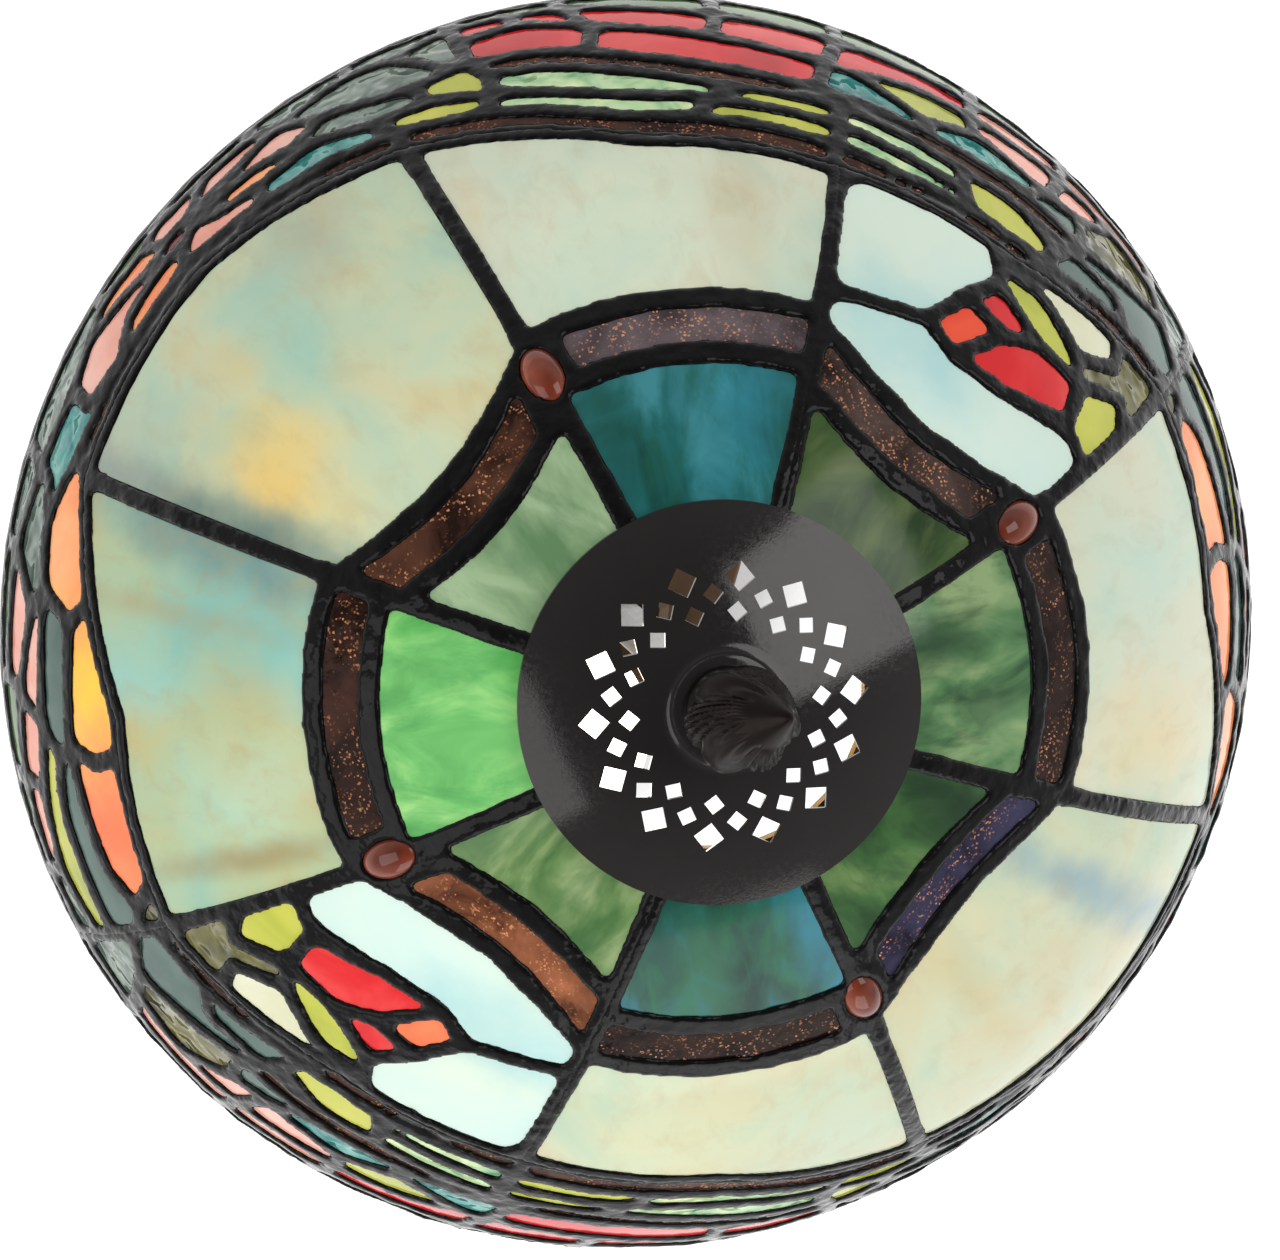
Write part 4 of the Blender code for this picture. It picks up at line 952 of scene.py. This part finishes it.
class LAMP_OT_border_glass(LampOperator, bpy.types.Operator):
    """Brown strips with copper flecks"""
    bl_idname = "lamp.border_glass"
    bl_label = "Border Glass"

    def execute(self, context):
        dome, seams = self.sizes(context)
        for sector, shades in enumerate(BORDER_COLOURS):
            material = flecked_glass(f"border_flecked_glass_{sector}", *shades)
            glass_object(f"border_glass_{sector}", [border_outline(dome, seams, sector)], dome,
                         material, [f"border_strip_{sector}"], SMALL_CELL)
        return {"FINISHED"}


class LAMP_OT_main_panes(LampOperator, bpy.types.Operator):
    """Cream, opal and streaked panes"""
    bl_idname = "lamp.main_panes"
    bl_label = "Main Panes"

    def execute(self, context):
        dome, seams = self.sizes(context)
        for sector, (slot, rows) in PANES.items():
            name = f"pane_glass_{sector}"
            amount = 0.32 if slot == "glass_streaked" else 0.22
            material = opal_glass(name, rows, scale=30.0, stretch=(1.4, 0.9, 1.0), turn=sector * SECTOR,
                                  move=(0.21 * sector, 0.1, 0), glow=0.24,
                                  streak=(TAN, (1.6, 0.7, 1.0), amount), patches=PANE_PATCHES[sector])
            glass_object(name, [pane_outline(dome, seams, sector)], dome, material,
                         [f"main_pane_{sector}"])
        return {"FINISHED"}


class LAMP_OT_small_glass(LampOperator, bpy.types.Operator):
    """Buds in two of the panes and the pieces of the skirt"""
    bl_idname = "lamp.small_glass"
    bl_label = "Buds and Skirt"

    def execute(self, context):
        dome, seams = self.sizes(context)
        glass = colour_glass()
        skirts = [f"skirt_glass_{quarter}" for quarter in range(SECTORS // 2)]
        for part, drawn, nodes, slot, cell in (
                ("bud", BUD_PIECES, ["main_pane_1", "main_pane_5"], "glass_pale", GLASS_CELL),
                ("skirt", SKIRT_PIECES, skirts, "glass_skirt", SMALL_CELL)):
            for shade, pieces in drawn.items():
                glass_object(f"{part}_{shade}_glass", half_turn_outlines(dome, seams, pieces), dome,
                             glass[shade], nodes, cell)
        return {"FINISHED"}


class LAMP_OT_jewels(LampOperator, bpy.types.Operator):
    """Polished amber jewels"""
    bl_idname = "lamp.jewels"
    bl_label = "Jewels"

    def execute(self, context):
        dome, _ = self.sizes(context)
        nodes = Nodes("amber_jewel_glass")
        shade = nodes.ramp(nodes.noise(nodes.place(), 120.0, detail=2.0), JEWEL_STOPS)
        nodes.set(Base_Color=shade, Roughness=0.06, Specular_IOR_Level=0.4)
        nodes.glow(shade, 0.15)
        fall = dome.fall_of_share(JEWEL_SHARE)
        size = Matrix.Diagonal((JEWEL_WIDE, JEWEL_LONG, JEWEL_DEEP, 1))
        for number, boundary in enumerate(range(1, SECTORS, 2)):
            azimuth = (boundary - 0.5) * SECTOR
            outward = (dome.point(azimuth, fall, dome.glass) - dome.point(azimuth, fall)).normalized()
            across = Vector((-math.sin(azimuth), math.cos(azimuth), 0))
            place = Matrix((across, outward.cross(across), outward)).transposed().to_4x4()
            place.translation = dome.point(azimuth, fall, -dome.glass / 2)
            bm = bmesh.new()
            bmesh.ops.create_uvsphere(bm, u_segments=32, v_segments=20, radius=1.0, matrix=place @ size)
            finish_object(f"amber_jewel_{number}", mesh_of(bm, "amber_jewel"), nodes.material, "shade",
                          [f"jewel_{number}"])
        return {"FINISHED"}


# Solder between the glass: its cells, lift, depth beyond the glass, overlap, lumps and beads
FILL_CELL = 0.007
FILL_LIFT = 0.0008
FILL_EXTRA = 0.0014
FILL_LAP = 0.0008
LUMP_SIZE = 0.006
BEAD_SWELL = (0.85, 1.25)
EDGE_STEPS = 64

# Bead round the mouth: shares of its node's size, sides, steps, lumps as count and start, their depth
RIM_WIDE = 0.96
RIM_TALL = 1.35
RIM_SIDES = 12
RIM_STEPS = 240
RIM_WAVES = ((37, 0.0), (61, 1.0), (97, 2.0))
RIM_LUMP = 0.0011


class LAMP_OT_solder(LampOperator, bpy.types.Operator):
    """Soldered seams and the rim bead"""
    bl_idname = "lamp.solder"
    bl_label = "Solder Seams"

    def beads(self, name, outlines, dome, seams, seed):
        """Uneven beads along the outlines."""
        chance = random.Random(seed)
        curve = set_all(bpy.data.curves.new(name, "CURVE"), dimensions="3D", bevel_depth=seams.bead,
                        bevel_resolution=2)
        for outline in outlines:
            line = curve.splines.new("POLY")
            line.points.add(len(outline) - 1)
            line.use_cyclic_u = True
            for place, (azimuth, fall) in zip(line.points, outline):
                place.co = (*dome.point(azimuth, fall), 1.0)
                place.radius = chance.uniform(*BEAD_SWELL)
        return settled(scratch(name, curve), name)

    def seams_piece(self, name, boundary, outlines, dome, seams, seed):
        """Solder filling the space between outlines, with a bead along every edge."""
        bm, speed = flat_faces([boundary] + outlines, dome, True)
        bend_to_dome(bm, dome, speed, FILL_CELL, FILL_LIFT)
        joined = bmesh.new()
        joined.from_mesh(thick_sheet(name + "_fill", bm, dome.glass + FILL_EXTRA))
        joined.from_mesh(self.beads(name + "_beads", outlines, dome, seams, seed))
        mesh = bpy.data.meshes.new(name)
        joined.to_mesh(mesh)
        joined.free()
        work = scratch(name + "_work", mesh)
        clouds = set_all(bpy.data.textures.new(name + "_lumps", "CLOUDS"), noise_scale=LUMP_SIZE)
        set_all(work.modifiers.new("skin", "REMESH"), mode="VOXEL", use_smooth_shade=True,
                voxel_size=seams.voxel * 1.0)
        set_all(work.modifiers.new("soft", "SMOOTH"), factor=0.5, iterations=3)
        set_all(work.modifiers.new("lumps", "DISPLACE"), texture=clouds, texture_coords="LOCAL",
                strength=seams.lumps, mid_level=0.5)
        done = settled(work, name)
        done.shade_smooth()
        return done

    def in_half(self, outlines, start):
        """Outlines of the half turn after a start, moved there by whole turns."""
        found = []
        for outline in outlines:
            middle = sum(azimuth for azimuth, _ in outline) / len(outline)
            shift = -FULL_TURN * math.floor((middle - start) / FULL_TURN)
            if middle + shift < start + HALF_TURN:
                found.append([(azimuth + shift, fall) for azimuth, fall in outline])
        return found

    def rim(self, material):
        """Lumpy bead round the mouth."""
        low, high = node_box("rim_bead")
        bead = (high.z - low.z) / 2
        angles = [math.pi / 2 - FULL_TURN * side / RIM_SIDES for side in range(RIM_SIDES)]
        profile = [(high.x - bead + bead * math.cos(angle) * RIM_WIDE,
                    low.z + bead * RIM_TALL * (1 + math.sin(angle))) for angle in angles]

        def lumpy(co):
            azimuth = math.atan2(co.y, co.x)
            wave = sum(math.sin(azimuth * count + start) for count, start in RIM_WAVES)
            grow = 1 + RIM_LUMP * (wave / len(RIM_WAVES) - 1)
            return Vector((co.x * grow, co.y * grow, co.z))
        turned_object("rim_solder", profile, RIM_STEPS, material, "shade", "rim_bead",
                      lumpy)

    def execute(self, context):
        dome, seams = self.sizes(context)
        material = solder_material(context.scene.lamp_colours)
        shoulder = shoulder_line(dome)
        top = level_line(dome.move(dome.fall_of_share(CROWN_TOP), -seams.half_width))
        lap = -FILL_LAP
        for label, outlines, first, high, low, overlap in (
                ("upper_solder", upper_outlines(dome, seams), 1.5 * SECTOR, top, shoulder,
                 (lap, lap, 0, lap)),
                ("skirt_solder", skirt_outlines(dome, seams), 0.5 * SECTOR, shoulder,
                 level_line(dome.rim), (lap, lap, lap, 0))):
            for half in range(2):
                start = first + half * HALF_TURN
                edge = patch_outline(dome, start, start + HALF_TURN, high, low, overlap, EDGE_STEPS)
                name = f"{label}_{half}"
                mesh = self.seams_piece(name, edge, self.in_half(outlines, start), dome, seams, half)
                finish_object(name, mesh, material, "shade", ["came_web"])
        self.rim(material)
        return {"FINISHED"}


# Vents of the cap: rows of distance from the axis, side and shift
VENT_ROWS = ((0.0287, 0.0047, 0.0), (0.0250, 0.0032, 0.5), (0.0212, 0.0032, 0.0))
VENT_COUNT = 14
VENT_TURN = math.radians(1.5)

# Cap: its sheet, rise, boss, the boss's two steps of rounding and the rings of its profile
CAP_SHEET = 0.0012
CAP_RISE = 0.0090
CAP_BOSS = 0.0124
BOSS_EDGE = 0.0003
BOSS_ROUND = 0.0009
CAP_RINGS = 12
INNER_RING = 4
CAP_STEPS = 112


class LAMP_OT_vented_cap(LampOperator, bpy.types.Operator):
    """Satin cap with square vents set on their corners"""
    bl_idname = "lamp.vented_cap"
    bl_label = "Vented Cap"

    def execute(self, context):
        low, high = node_box("vented_cap")
        radius = high.x
        bore = pipe_bore()

        def under(across):
            share = across / radius
            return low.z + CAP_RISE * (1 - share * share)

        def over(across):
            return under(across) + CAP_SHEET
        radii = [radius * ring / CAP_RINGS for ring in range(CAP_RINGS, INNER_RING - 1, -1)]
        profile = [(CAP_BOSS * 0.90, high.z), (CAP_BOSS * 0.97, high.z - BOSS_EDGE),
                   (CAP_BOSS, high.z - BOSS_ROUND), (CAP_BOSS * 1.02, over(CAP_BOSS) + BOSS_EDGE),
                   (CAP_BOSS * 1.08, over(CAP_BOSS * 1.08))]
        profile += [(across, over(across)) for across in radii[::-1] if across > CAP_BOSS * 1.1]
        profile += [(radius, low.z + CAP_SHEET / 2)] + [(across, under(across)) for across in radii]
        profile += [(bore, under(radii[-1])), (bore, high.z)]
        work = scratch("cap_work", turned_mesh("cap_work", profile, CAP_STEPS))
        cutter = scratch("vent_cutter", self.vents(under))
        set_all(work.modifiers.new("vents", "BOOLEAN"), operation="DIFFERENCE", solver="EXACT",
                object=cutter)
        mesh = settled(work, "vented_cap_metal")
        bpy.data.objects.remove(cutter)
        mesh.shade_smooth()
        mesh.set_sharp_from_angle(angle=CAP_EDGE)
        material = metal_material("gunmetal_cap", context.scene.lamp_colours.cap, 0.10, grain=900.0,
                                  metal=0.6, mottle=1.12)
        finish_object("vented_cap_metal", mesh, material, "shade", ["vented_cap"])
        dress_nodes(metal_material("brass_ring", linear(190, 150, 84), 0.3), "cap_ring")
        return {"FINISHED"}

    def vents(self, height):
        """Square bars through the cap, at the height given for each distance from the axis."""
        bm = bmesh.new()
        for across, side, shift in VENT_ROWS:
            for vent in range(VENT_COUNT):
                azimuth = VENT_TURN + (vent + shift) * FULL_TURN / VENT_COUNT
                place = (across * math.cos(azimuth), across * math.sin(azimuth), height(across))
                corner = side / math.sqrt(2)
                bmesh.ops.create_cone(bm, cap_ends=True, segments=4, radius1=corner, radius2=corner,
                                      depth=CAP_SHEET * 6, matrix=Matrix.Translation(place)
                                      @ Matrix.Rotation(azimuth, 4, "Z"))
        return mesh_of(bm, "vent_cutter", smooth=False)


# Finial: its size, how far and where its tip leans, and its carving
FINIAL_RADIUS = 0.0112
FINIAL_LEAN = 0.0080
FINIAL_LEAN_AZIMUTH = math.radians(20)
FINIAL_STEPS = 180
LEAF_START = 0.14
LEAF_SWIRL = 1.3
LEAF_DEEP = 0.16
VEIN_DEEP = 0.13
VEIN_BEND = 9
CARVED_IN = 0.19

# Profile of the finial from its tip: shares of the radius and of the height
FINIAL_PROFILE = ((0.0, 1.0), (0.10, 0.985), (0.20, 0.95), (0.34, 0.89), (0.54, 0.80), (0.76, 0.69),
                  (0.93, 0.56), (1.0, 0.43), (0.98, 0.32), (0.90, 0.22), (0.79, 0.16), (0.76, 0.12),
                  (0.86, 0.09), (0.88, 0.05), (0.88, 0.0))


class LAMP_OT_finial(LampOperator, bpy.types.Operator):
    """Carved bud finial"""
    bl_idname = "lamp.finial"
    bl_label = "Finial"

    leaves: IntProperty(name="Leaves", description="Leaves round the bud", default=6)

    def execute(self, context):
        low, high = node_box("finial")
        tall = high.z - low.z
        bore = pipe_bore()
        depth = node_high("lamp_pipe").z - low.z + CLEARANCE
        start = depth + CLEARANCE
        profile = smooth_profile([(FINIAL_RADIUS * across, tall * up) for across, up in FINIAL_PROFILE])
        profile += [(bore, 0.0), (bore, depth), (0.0, depth)]

        def carve(co):
            share = max(0.0, min(1.0, co.z / tall))
            azimuth = math.atan2(co.y, co.x)
            across = math.hypot(co.x, co.y)
            belly = math.sin(math.pi * min(1.0, max(0.0, (share - LEAF_START) / (1 - LEAF_START))))
            if across > bore + 2 * CLEARANCE and belly > 0:
                turn = self.leaves * (azimuth + LEAF_SWIRL * share)
                leaf = abs(math.sin(turn / 2))
                vein = abs(math.sin(turn * 1.5 + VEIN_BEND * share * math.cos(turn / 2)))
                across *= 1 + math.sqrt(belly) * (LEAF_DEEP * leaf + VEIN_DEEP * vein - CARVED_IN)
            rise = max(0.0, co.z - start) / (tall - start)
            shift = FINIAL_LEAN * rise * rise
            return Vector((across * math.cos(azimuth) + shift * math.cos(FINIAL_LEAN_AZIMUTH),
                           across * math.sin(azimuth) + shift * math.sin(FINIAL_LEAN_AZIMUTH),
                           co.z + low.z))
        material = metal_material("finial_dark_bronze", context.scene.lamp_colours.finial, 0.34,
                                  grain=400.0, mottle=1.6)
        turned_object("bud_finial", profile, FINIAL_STEPS, material, "finial", "finial",
                      carve)
        return {"FINISHED"}


# Bulb: arc of its round part, wall and closed end of its glass, thread of its cap, light and steps
BULB_ARC = math.radians(128)
BULB_ARC_STEPS = 24
BULB_WALL = 0.001
BULB_END = 0.002
THREAD_CRESTS = 5
CREST_STEPS = 8
THREAD_DEEP = 0.0007
THREAD_SHARE = 0.97
CONTACT_RADIUS = 0.0034
BULB_LIGHT = 5.0
BULB_STEPS = 64
THREAD_STEPS = 48


class LAMP_OT_bulb(LampOperator, bpy.types.Operator):
    """Frosted bulb on its threaded cap"""
    bl_idname = "lamp.bulb"
    bl_label = "Bulb"

    def execute(self, context):
        low, high = node_box("bulb_glass")
        cap_low, cap_high = node_box("bulb_cap")
        radius = (high.x - low.x) / 2
        neck = (cap_high.x - cap_low.x) / 2 - THREAD_DEEP
        tall = high.z - low.z
        angles = [BULB_ARC * step / BULB_ARC_STEPS for step in range(BULB_ARC_STEPS + 1)]
        outside = [(radius * math.sin(angle), high.z - radius + radius * math.cos(angle))
                   for angle in angles]
        outside += [(neck * 1.15, low.z + tall * 0.2), (neck, low.z + tall * 0.12), (neck, low.z)]
        glass = smooth_profile(outside, 1)
        glass += [(neck - BULB_WALL, low.z), (neck - BULB_WALL, low.z + BULB_END),
                  (0.0, low.z + BULB_END)]
        thread = [(0.0, cap_high.z), (neck, cap_high.z)]
        steps = THREAD_CRESTS * CREST_STEPS
        for step in range(steps + 1):
            share = step / steps
            wave = 0.5 - 0.5 * math.cos(FULL_TURN * THREAD_CRESTS * share)
            drop = (cap_high.z - cap_low.z) * THREAD_SHARE * share
            thread.append((neck + THREAD_DEEP * wave, cap_high.z - drop))
        thread += [(CONTACT_RADIUS, cap_low.z), (0.0, cap_low.z)]

        def moved(co):
            return Vector((co.x + BULB_MIDDLE.x, co.y + BULB_MIDDLE.y, co.z))
        nodes = Nodes("frosted_bulb_glass")
        frost = nodes.noise(nodes.place(), 300.0, detail=2.0)
        shade = nodes.ramp(frost, ((0.3, tuple(context.scene.lamp_colours.bulb)), (0.7, WHITE[:3])))
        nodes.set(Base_Color=shade, Roughness=0.4, Emission_Color=shade, Emission_Strength=BULB_LIGHT)
        nodes.bump(frost, strength=0.05, distance=0.0005)
        metal = metal_material("bulb_cap_metal", linear(196, 196, 192), 0.28)
        turned_object("frosted_bulb", glass, BULB_STEPS, nodes.material, "bulb", "bulb_glass",
                      moved)
        turned_object("bulb_thread", thread, THREAD_STEPS, metal, "bulb", "bulb_cap", moved)
        return {"FINISHED"}


# Foot: height of its band, wall, seat of the pipe's nut as radius and height, and steps
FOOT_BAND = 0.0170
FOOT_WALL = 0.0045
FOOT_SEAT = (0.0130, 0.0270)
FOOT_STEPS = 96

# Profiles from the top: shares of the neck's radius and of the fall, then of radius and height
FOOT_PROFILE = ((1.0, 0.0), (1.08, 0.10), (1.10, 0.28), (1.45, 0.52), (2.1, 0.72), (2.9, 0.83))
COLUMN_PROFILE = ((0.95, 0.985), (0.95, 0.965), (0.72, 0.95), (0.56, 0.90), (0.47, 0.78), (0.45, 0.62),
                  (0.50, 0.48), (0.62, 0.42), (0.80, 0.37), (0.81, 0.33), (0.70, 0.26), (0.56, 0.20),
                  (0.60, 0.13), (0.78, 0.07), (0.98, 0.045), (1.0, 0.02), (0.96, 0.0))
COLLAR_PROFILE = ((0.82, 0.8), (1.0, 0.55), (1.0, 0.4), (0.75, 0.0))
COLUMN_TOP = 0.0150
COLLAR_TOP = 0.0108
COLUMN_LEAST = 0.008
COLUMN_STEPS = 72


class LAMP_OT_stand(LampOperator, bpy.types.Operator):
    """Foot, column, socket and switch"""
    bl_idname = "lamp.stand"
    bl_label = "Stand"

    def execute(self, context):
        bronze = metal_material("antique_bronze", context.scene.lamp_colours.bronze, 0.40, grain=250.0,
                                metal=0.85, mottle=1.7)
        brass = metal_material("socket_brass", linear(196, 158, 92), 0.30, grain=600.0, metal=0.95,
                               mottle=1.1)
        steel = metal_material("zinc_steel_parts", linear(176, 176, 174), 0.34, grain=500.0, metal=0.95,
                               mottle=1.1)
        self.foot(bronze)
        self.column(bronze)
        dress_nodes(bronze, "cluster_body", "socket_arm")
        dress_nodes(brass, "socket_cap", "socket_shell", "screw_shell", "center_contact", "shade_rest",
                    "rest_nut")
        dress_nodes(steel, "lamp_pipe", "lock_washer", "pipe_nut", "switch_shaft")
        dress_nodes(plain_finish("black_moulding", linear(30, 30, 31), 0.42), "cord_bushing",
                    "switch_knob")
        dress_nodes(plain_finish("brown_phenolic", linear(62, 46, 40), 0.4), "socket_body")
        dress_nodes(plain_finish("fibre_liner", linear(142, 124, 98), 0.9), "socket_liner")
        dress_nodes(plain_finish("green_felt", linear(44, 58, 50), 0.97, grain=1600.0, depth=0.6),
                    "base_felt")
        return {"FINISHED"}

    def foot(self, bronze):
        """Turned foot with a rounded edge."""
        low, high = node_box("base_foot")
        radius = high.x
        neck = node_high("column").x
        band = low.z + FOOT_BAND
        rise = high.z - band
        bore = pipe_bore()
        top = [(neck * across, high.z - rise * down) for across, down in FOOT_PROFILE]
        wide, under = top[-2]
        top.append((radius * 0.84, high.z - rise * 0.88))
        edge = [(radius * 0.86, band + 0.001), (radius * 0.97, band), (radius, band - 0.002),
                (radius, low.z + 0.001), (radius - 0.001, low.z)]
        inner = radius - FOOT_WALL
        inside = [(inner, low.z), (inner, band - FOOT_WALL), (wide, under - FOOT_WALL), FOOT_SEAT,
                  (bore, FOOT_SEAT[1]), (bore, high.z)]
        turned_object("bronze_foot", smooth_profile(top) + smooth_profile(edge) + inside, FOOT_STEPS,
                      bronze, "stand", "base_foot")

    def column(self, bronze):
        """Turned column and its collar."""
        bore = pipe_bore()
        for name, node, top, shares in (("bronze_column", "column", COLUMN_TOP, COLUMN_PROFILE),
                                        ("bronze_collar", "column_collar", COLLAR_TOP, COLLAR_PROFILE)):
            low, high = node_box(node)
            side = [(top, high.z)]
            side += [(max(high.x * across, COLUMN_LEAST), low.z + (high.z - low.z) * up)
                     for across, up in shares]
            turned_object(name, smooth_profile(side) + [(bore, low.z), (bore, high.z)], COLUMN_STEPS,
                          bronze, "stand", node)


# Stage: the floor's size, its glow by distance from the lamp, dimmed near the lamp as a painted shadow,
# and the sky's light by height
FLOOR_SIZE = 6.0
FLOOR_GLOW_AND_PAINTED_SHADOW = ((0.085, 0.125), (0.25, 1.0))
SKY_LIGHT = ((0.30, 0.95), (0.82, 0.16))

# Soft lights: name, place, size and power
LIGHTS = (("key_light", (1.05, 0.38, 1.95), 1.2, 13.0), ("fill_light", (-1.2, -0.4, 1.3), 1.2, 8.0),
          ("low_light", (0.2, -1.4, 0.8), 1.0, 6.0))
LIGHT_AIM = Vector((0, 0, 0.36))

# Camera: tilt from straight above, azimuths of its place and of the picture's top, distance, lens
CAMERA_TILT = math.radians(11.7)
CAMERA_AZIMUTH = math.radians(134.0)
CAMERA_UP = math.radians(85.4)
CAMERA_AWAY = 1.2
CAMERA_LENS = 140.2
CAMERA_SENSOR = 36.0
CAMERA_START = 0.01


class LAMP_OT_stage(LampOperator, bpy.types.Operator):
    """Floor, light and camera"""
    bl_idname = "lamp.stage"
    bl_label = "Stage"

    def execute(self, context):
        self.floor()
        self.light(context)
        self.camera(context)
        context.scene.view_settings.view_transform = "Standard"
        return {"FINISHED"}

    def floor(self):
        """White floor that shows as white and keeps the shadow, with a painted shadow where its glow is
        dimmed near the lamp.
        """
        bm = bmesh.new()
        bmesh.ops.create_grid(bm, x_segments=1, y_segments=1, size=FLOOR_SIZE)
        mesh = mesh_of(bm, "studio_floor", closed=False, smooth=False)
        nodes = Nodes("studio_white")
        path = nodes.add("ShaderNodeLightPath").outputs
        through = nodes.number("MAXIMUM", path["Is Glossy Ray"], path["Is Transmission Ray"])
        seen = nodes.number("MAXIMUM", path["Is Camera Ray"], through)
        # The glow is a quarter within 85 mm of the lamp's axis and full beyond 125 mm: a painted shadow
        # under the lamp.
        away = nodes.vector("LENGTH", nodes.place(), result="Value")
        nodes.set(Base_Color=(0.5, 0.5, 0.5, 1.0), Roughness=0.9, Emission_Color=WHITE,
                  Emission_Strength=nodes.number("MULTIPLY", seen, nodes.span(away, *FLOOR_GLOW_AND_PAINTED_SHADOW)))
        mesh.materials.append(nodes.material)
        scratch("studio_floor", mesh)

    def light(self, context):
        """Even white surroundings and three soft lights."""
        world = bpy.data.worlds.new("studio_world")
        world.use_nodes = True
        tree = Tree(world.node_tree)
        way = tree.add("ShaderNodeTexCoord").outputs["Generated"]
        height = tree.add("ShaderNodeSeparateXYZ", {0: way}).outputs["Z"]
        seen = tree.add("ShaderNodeLightPath").outputs["Is Camera Ray"]
        background = world.node_tree.nodes["Background"].inputs
        tree.feed(background["Color"], WHITE)
        tree.feed(background["Strength"], tree.number("MAXIMUM", seen, tree.span(height, *SKY_LIGHT)))
        context.scene.world = world
        for name, place, size, power in LIGHTS:
            made = scratch(name, set_all(bpy.data.lights.new(name, "AREA"), size=size, energy=power))
            made.location = place
            made.rotation_euler = (LIGHT_AIM - made.location).to_track_quat("-Z", "Y").to_euler()

    def camera(self, context):
        """Camera almost straight above, as the photograph was taken."""
        back = Vector((math.sin(CAMERA_TILT) * math.cos(CAMERA_AZIMUTH),
                       math.sin(CAMERA_TILT) * math.sin(CAMERA_AZIMUTH), math.cos(CAMERA_TILT)))
        up = Vector((math.cos(CAMERA_UP), math.sin(CAMERA_UP), 0))
        up = (up - back * up.dot(back)).normalized()
        right = up.cross(back)
        target = Vector((0, 0, context.scene.lamp_dome.rim_height)) + right * MM
        lens = set_all(bpy.data.cameras.new("photo_camera"), lens=CAMERA_LENS,
                       sensor_width=CAMERA_SENSOR, clip_start=CAMERA_START)
        made = scratch("photo_camera", lens)
        turn = Matrix((right, up, back)).transposed().to_4x4()
        made.matrix_world = Matrix.Translation(target + back * CAMERA_AWAY) @ turn
        context.scene.camera = made


class LAMP_PT_panel(bpy.types.Panel):
    """Lamp sizes, colours and pieces"""
    bl_idname = "LAMP_PT_panel"
    bl_label = "Leaded Glass Lamp"
    bl_space_type = "VIEW_3D"
    bl_region_type = "UI"
    bl_category = "Lamp"

    def draw(self, context):
        for place in GROUPS:
            group = getattr(context.scene, place)
            for name in group.__annotations__:
                self.layout.prop(group, name)
        for operator in OPERATORS:
            self.layout.operator(operator.bl_idname)


GROUPS = {"lamp_dome": LampDome, "lamp_seams": LampSeams, "lamp_colours": LampColours}
OPERATORS = (LAMP_OT_stage, LAMP_OT_crown_glass, LAMP_OT_border_glass, LAMP_OT_main_panes,
             LAMP_OT_small_glass, LAMP_OT_jewels, LAMP_OT_solder, LAMP_OT_vented_cap, LAMP_OT_finial,
             LAMP_OT_bulb, LAMP_OT_stand)
CLASSES = (*GROUPS.values(), *OPERATORS, LAMP_PT_panel)


def register():
    """Add the lamp's classes and settings."""
    for item in CLASSES:
        bpy.utils.register_class(item)
    for place, group in GROUPS.items():
        setattr(bpy.types.Scene, place, PointerProperty(type=group))


def unregister():
    """Take the lamp's classes and settings away again."""
    for place in GROUPS:
        delattr(bpy.types.Scene, place)
    for item in reversed(CLASSES):
        bpy.utils.unregister_class(item)


def main():
    """Build the lamp."""
    register()
    for operator in OPERATORS:
        group, name = operator.bl_idname.split(".")
        getattr(getattr(bpy.ops, group), name)()


if __name__ == "__main__":
    main()
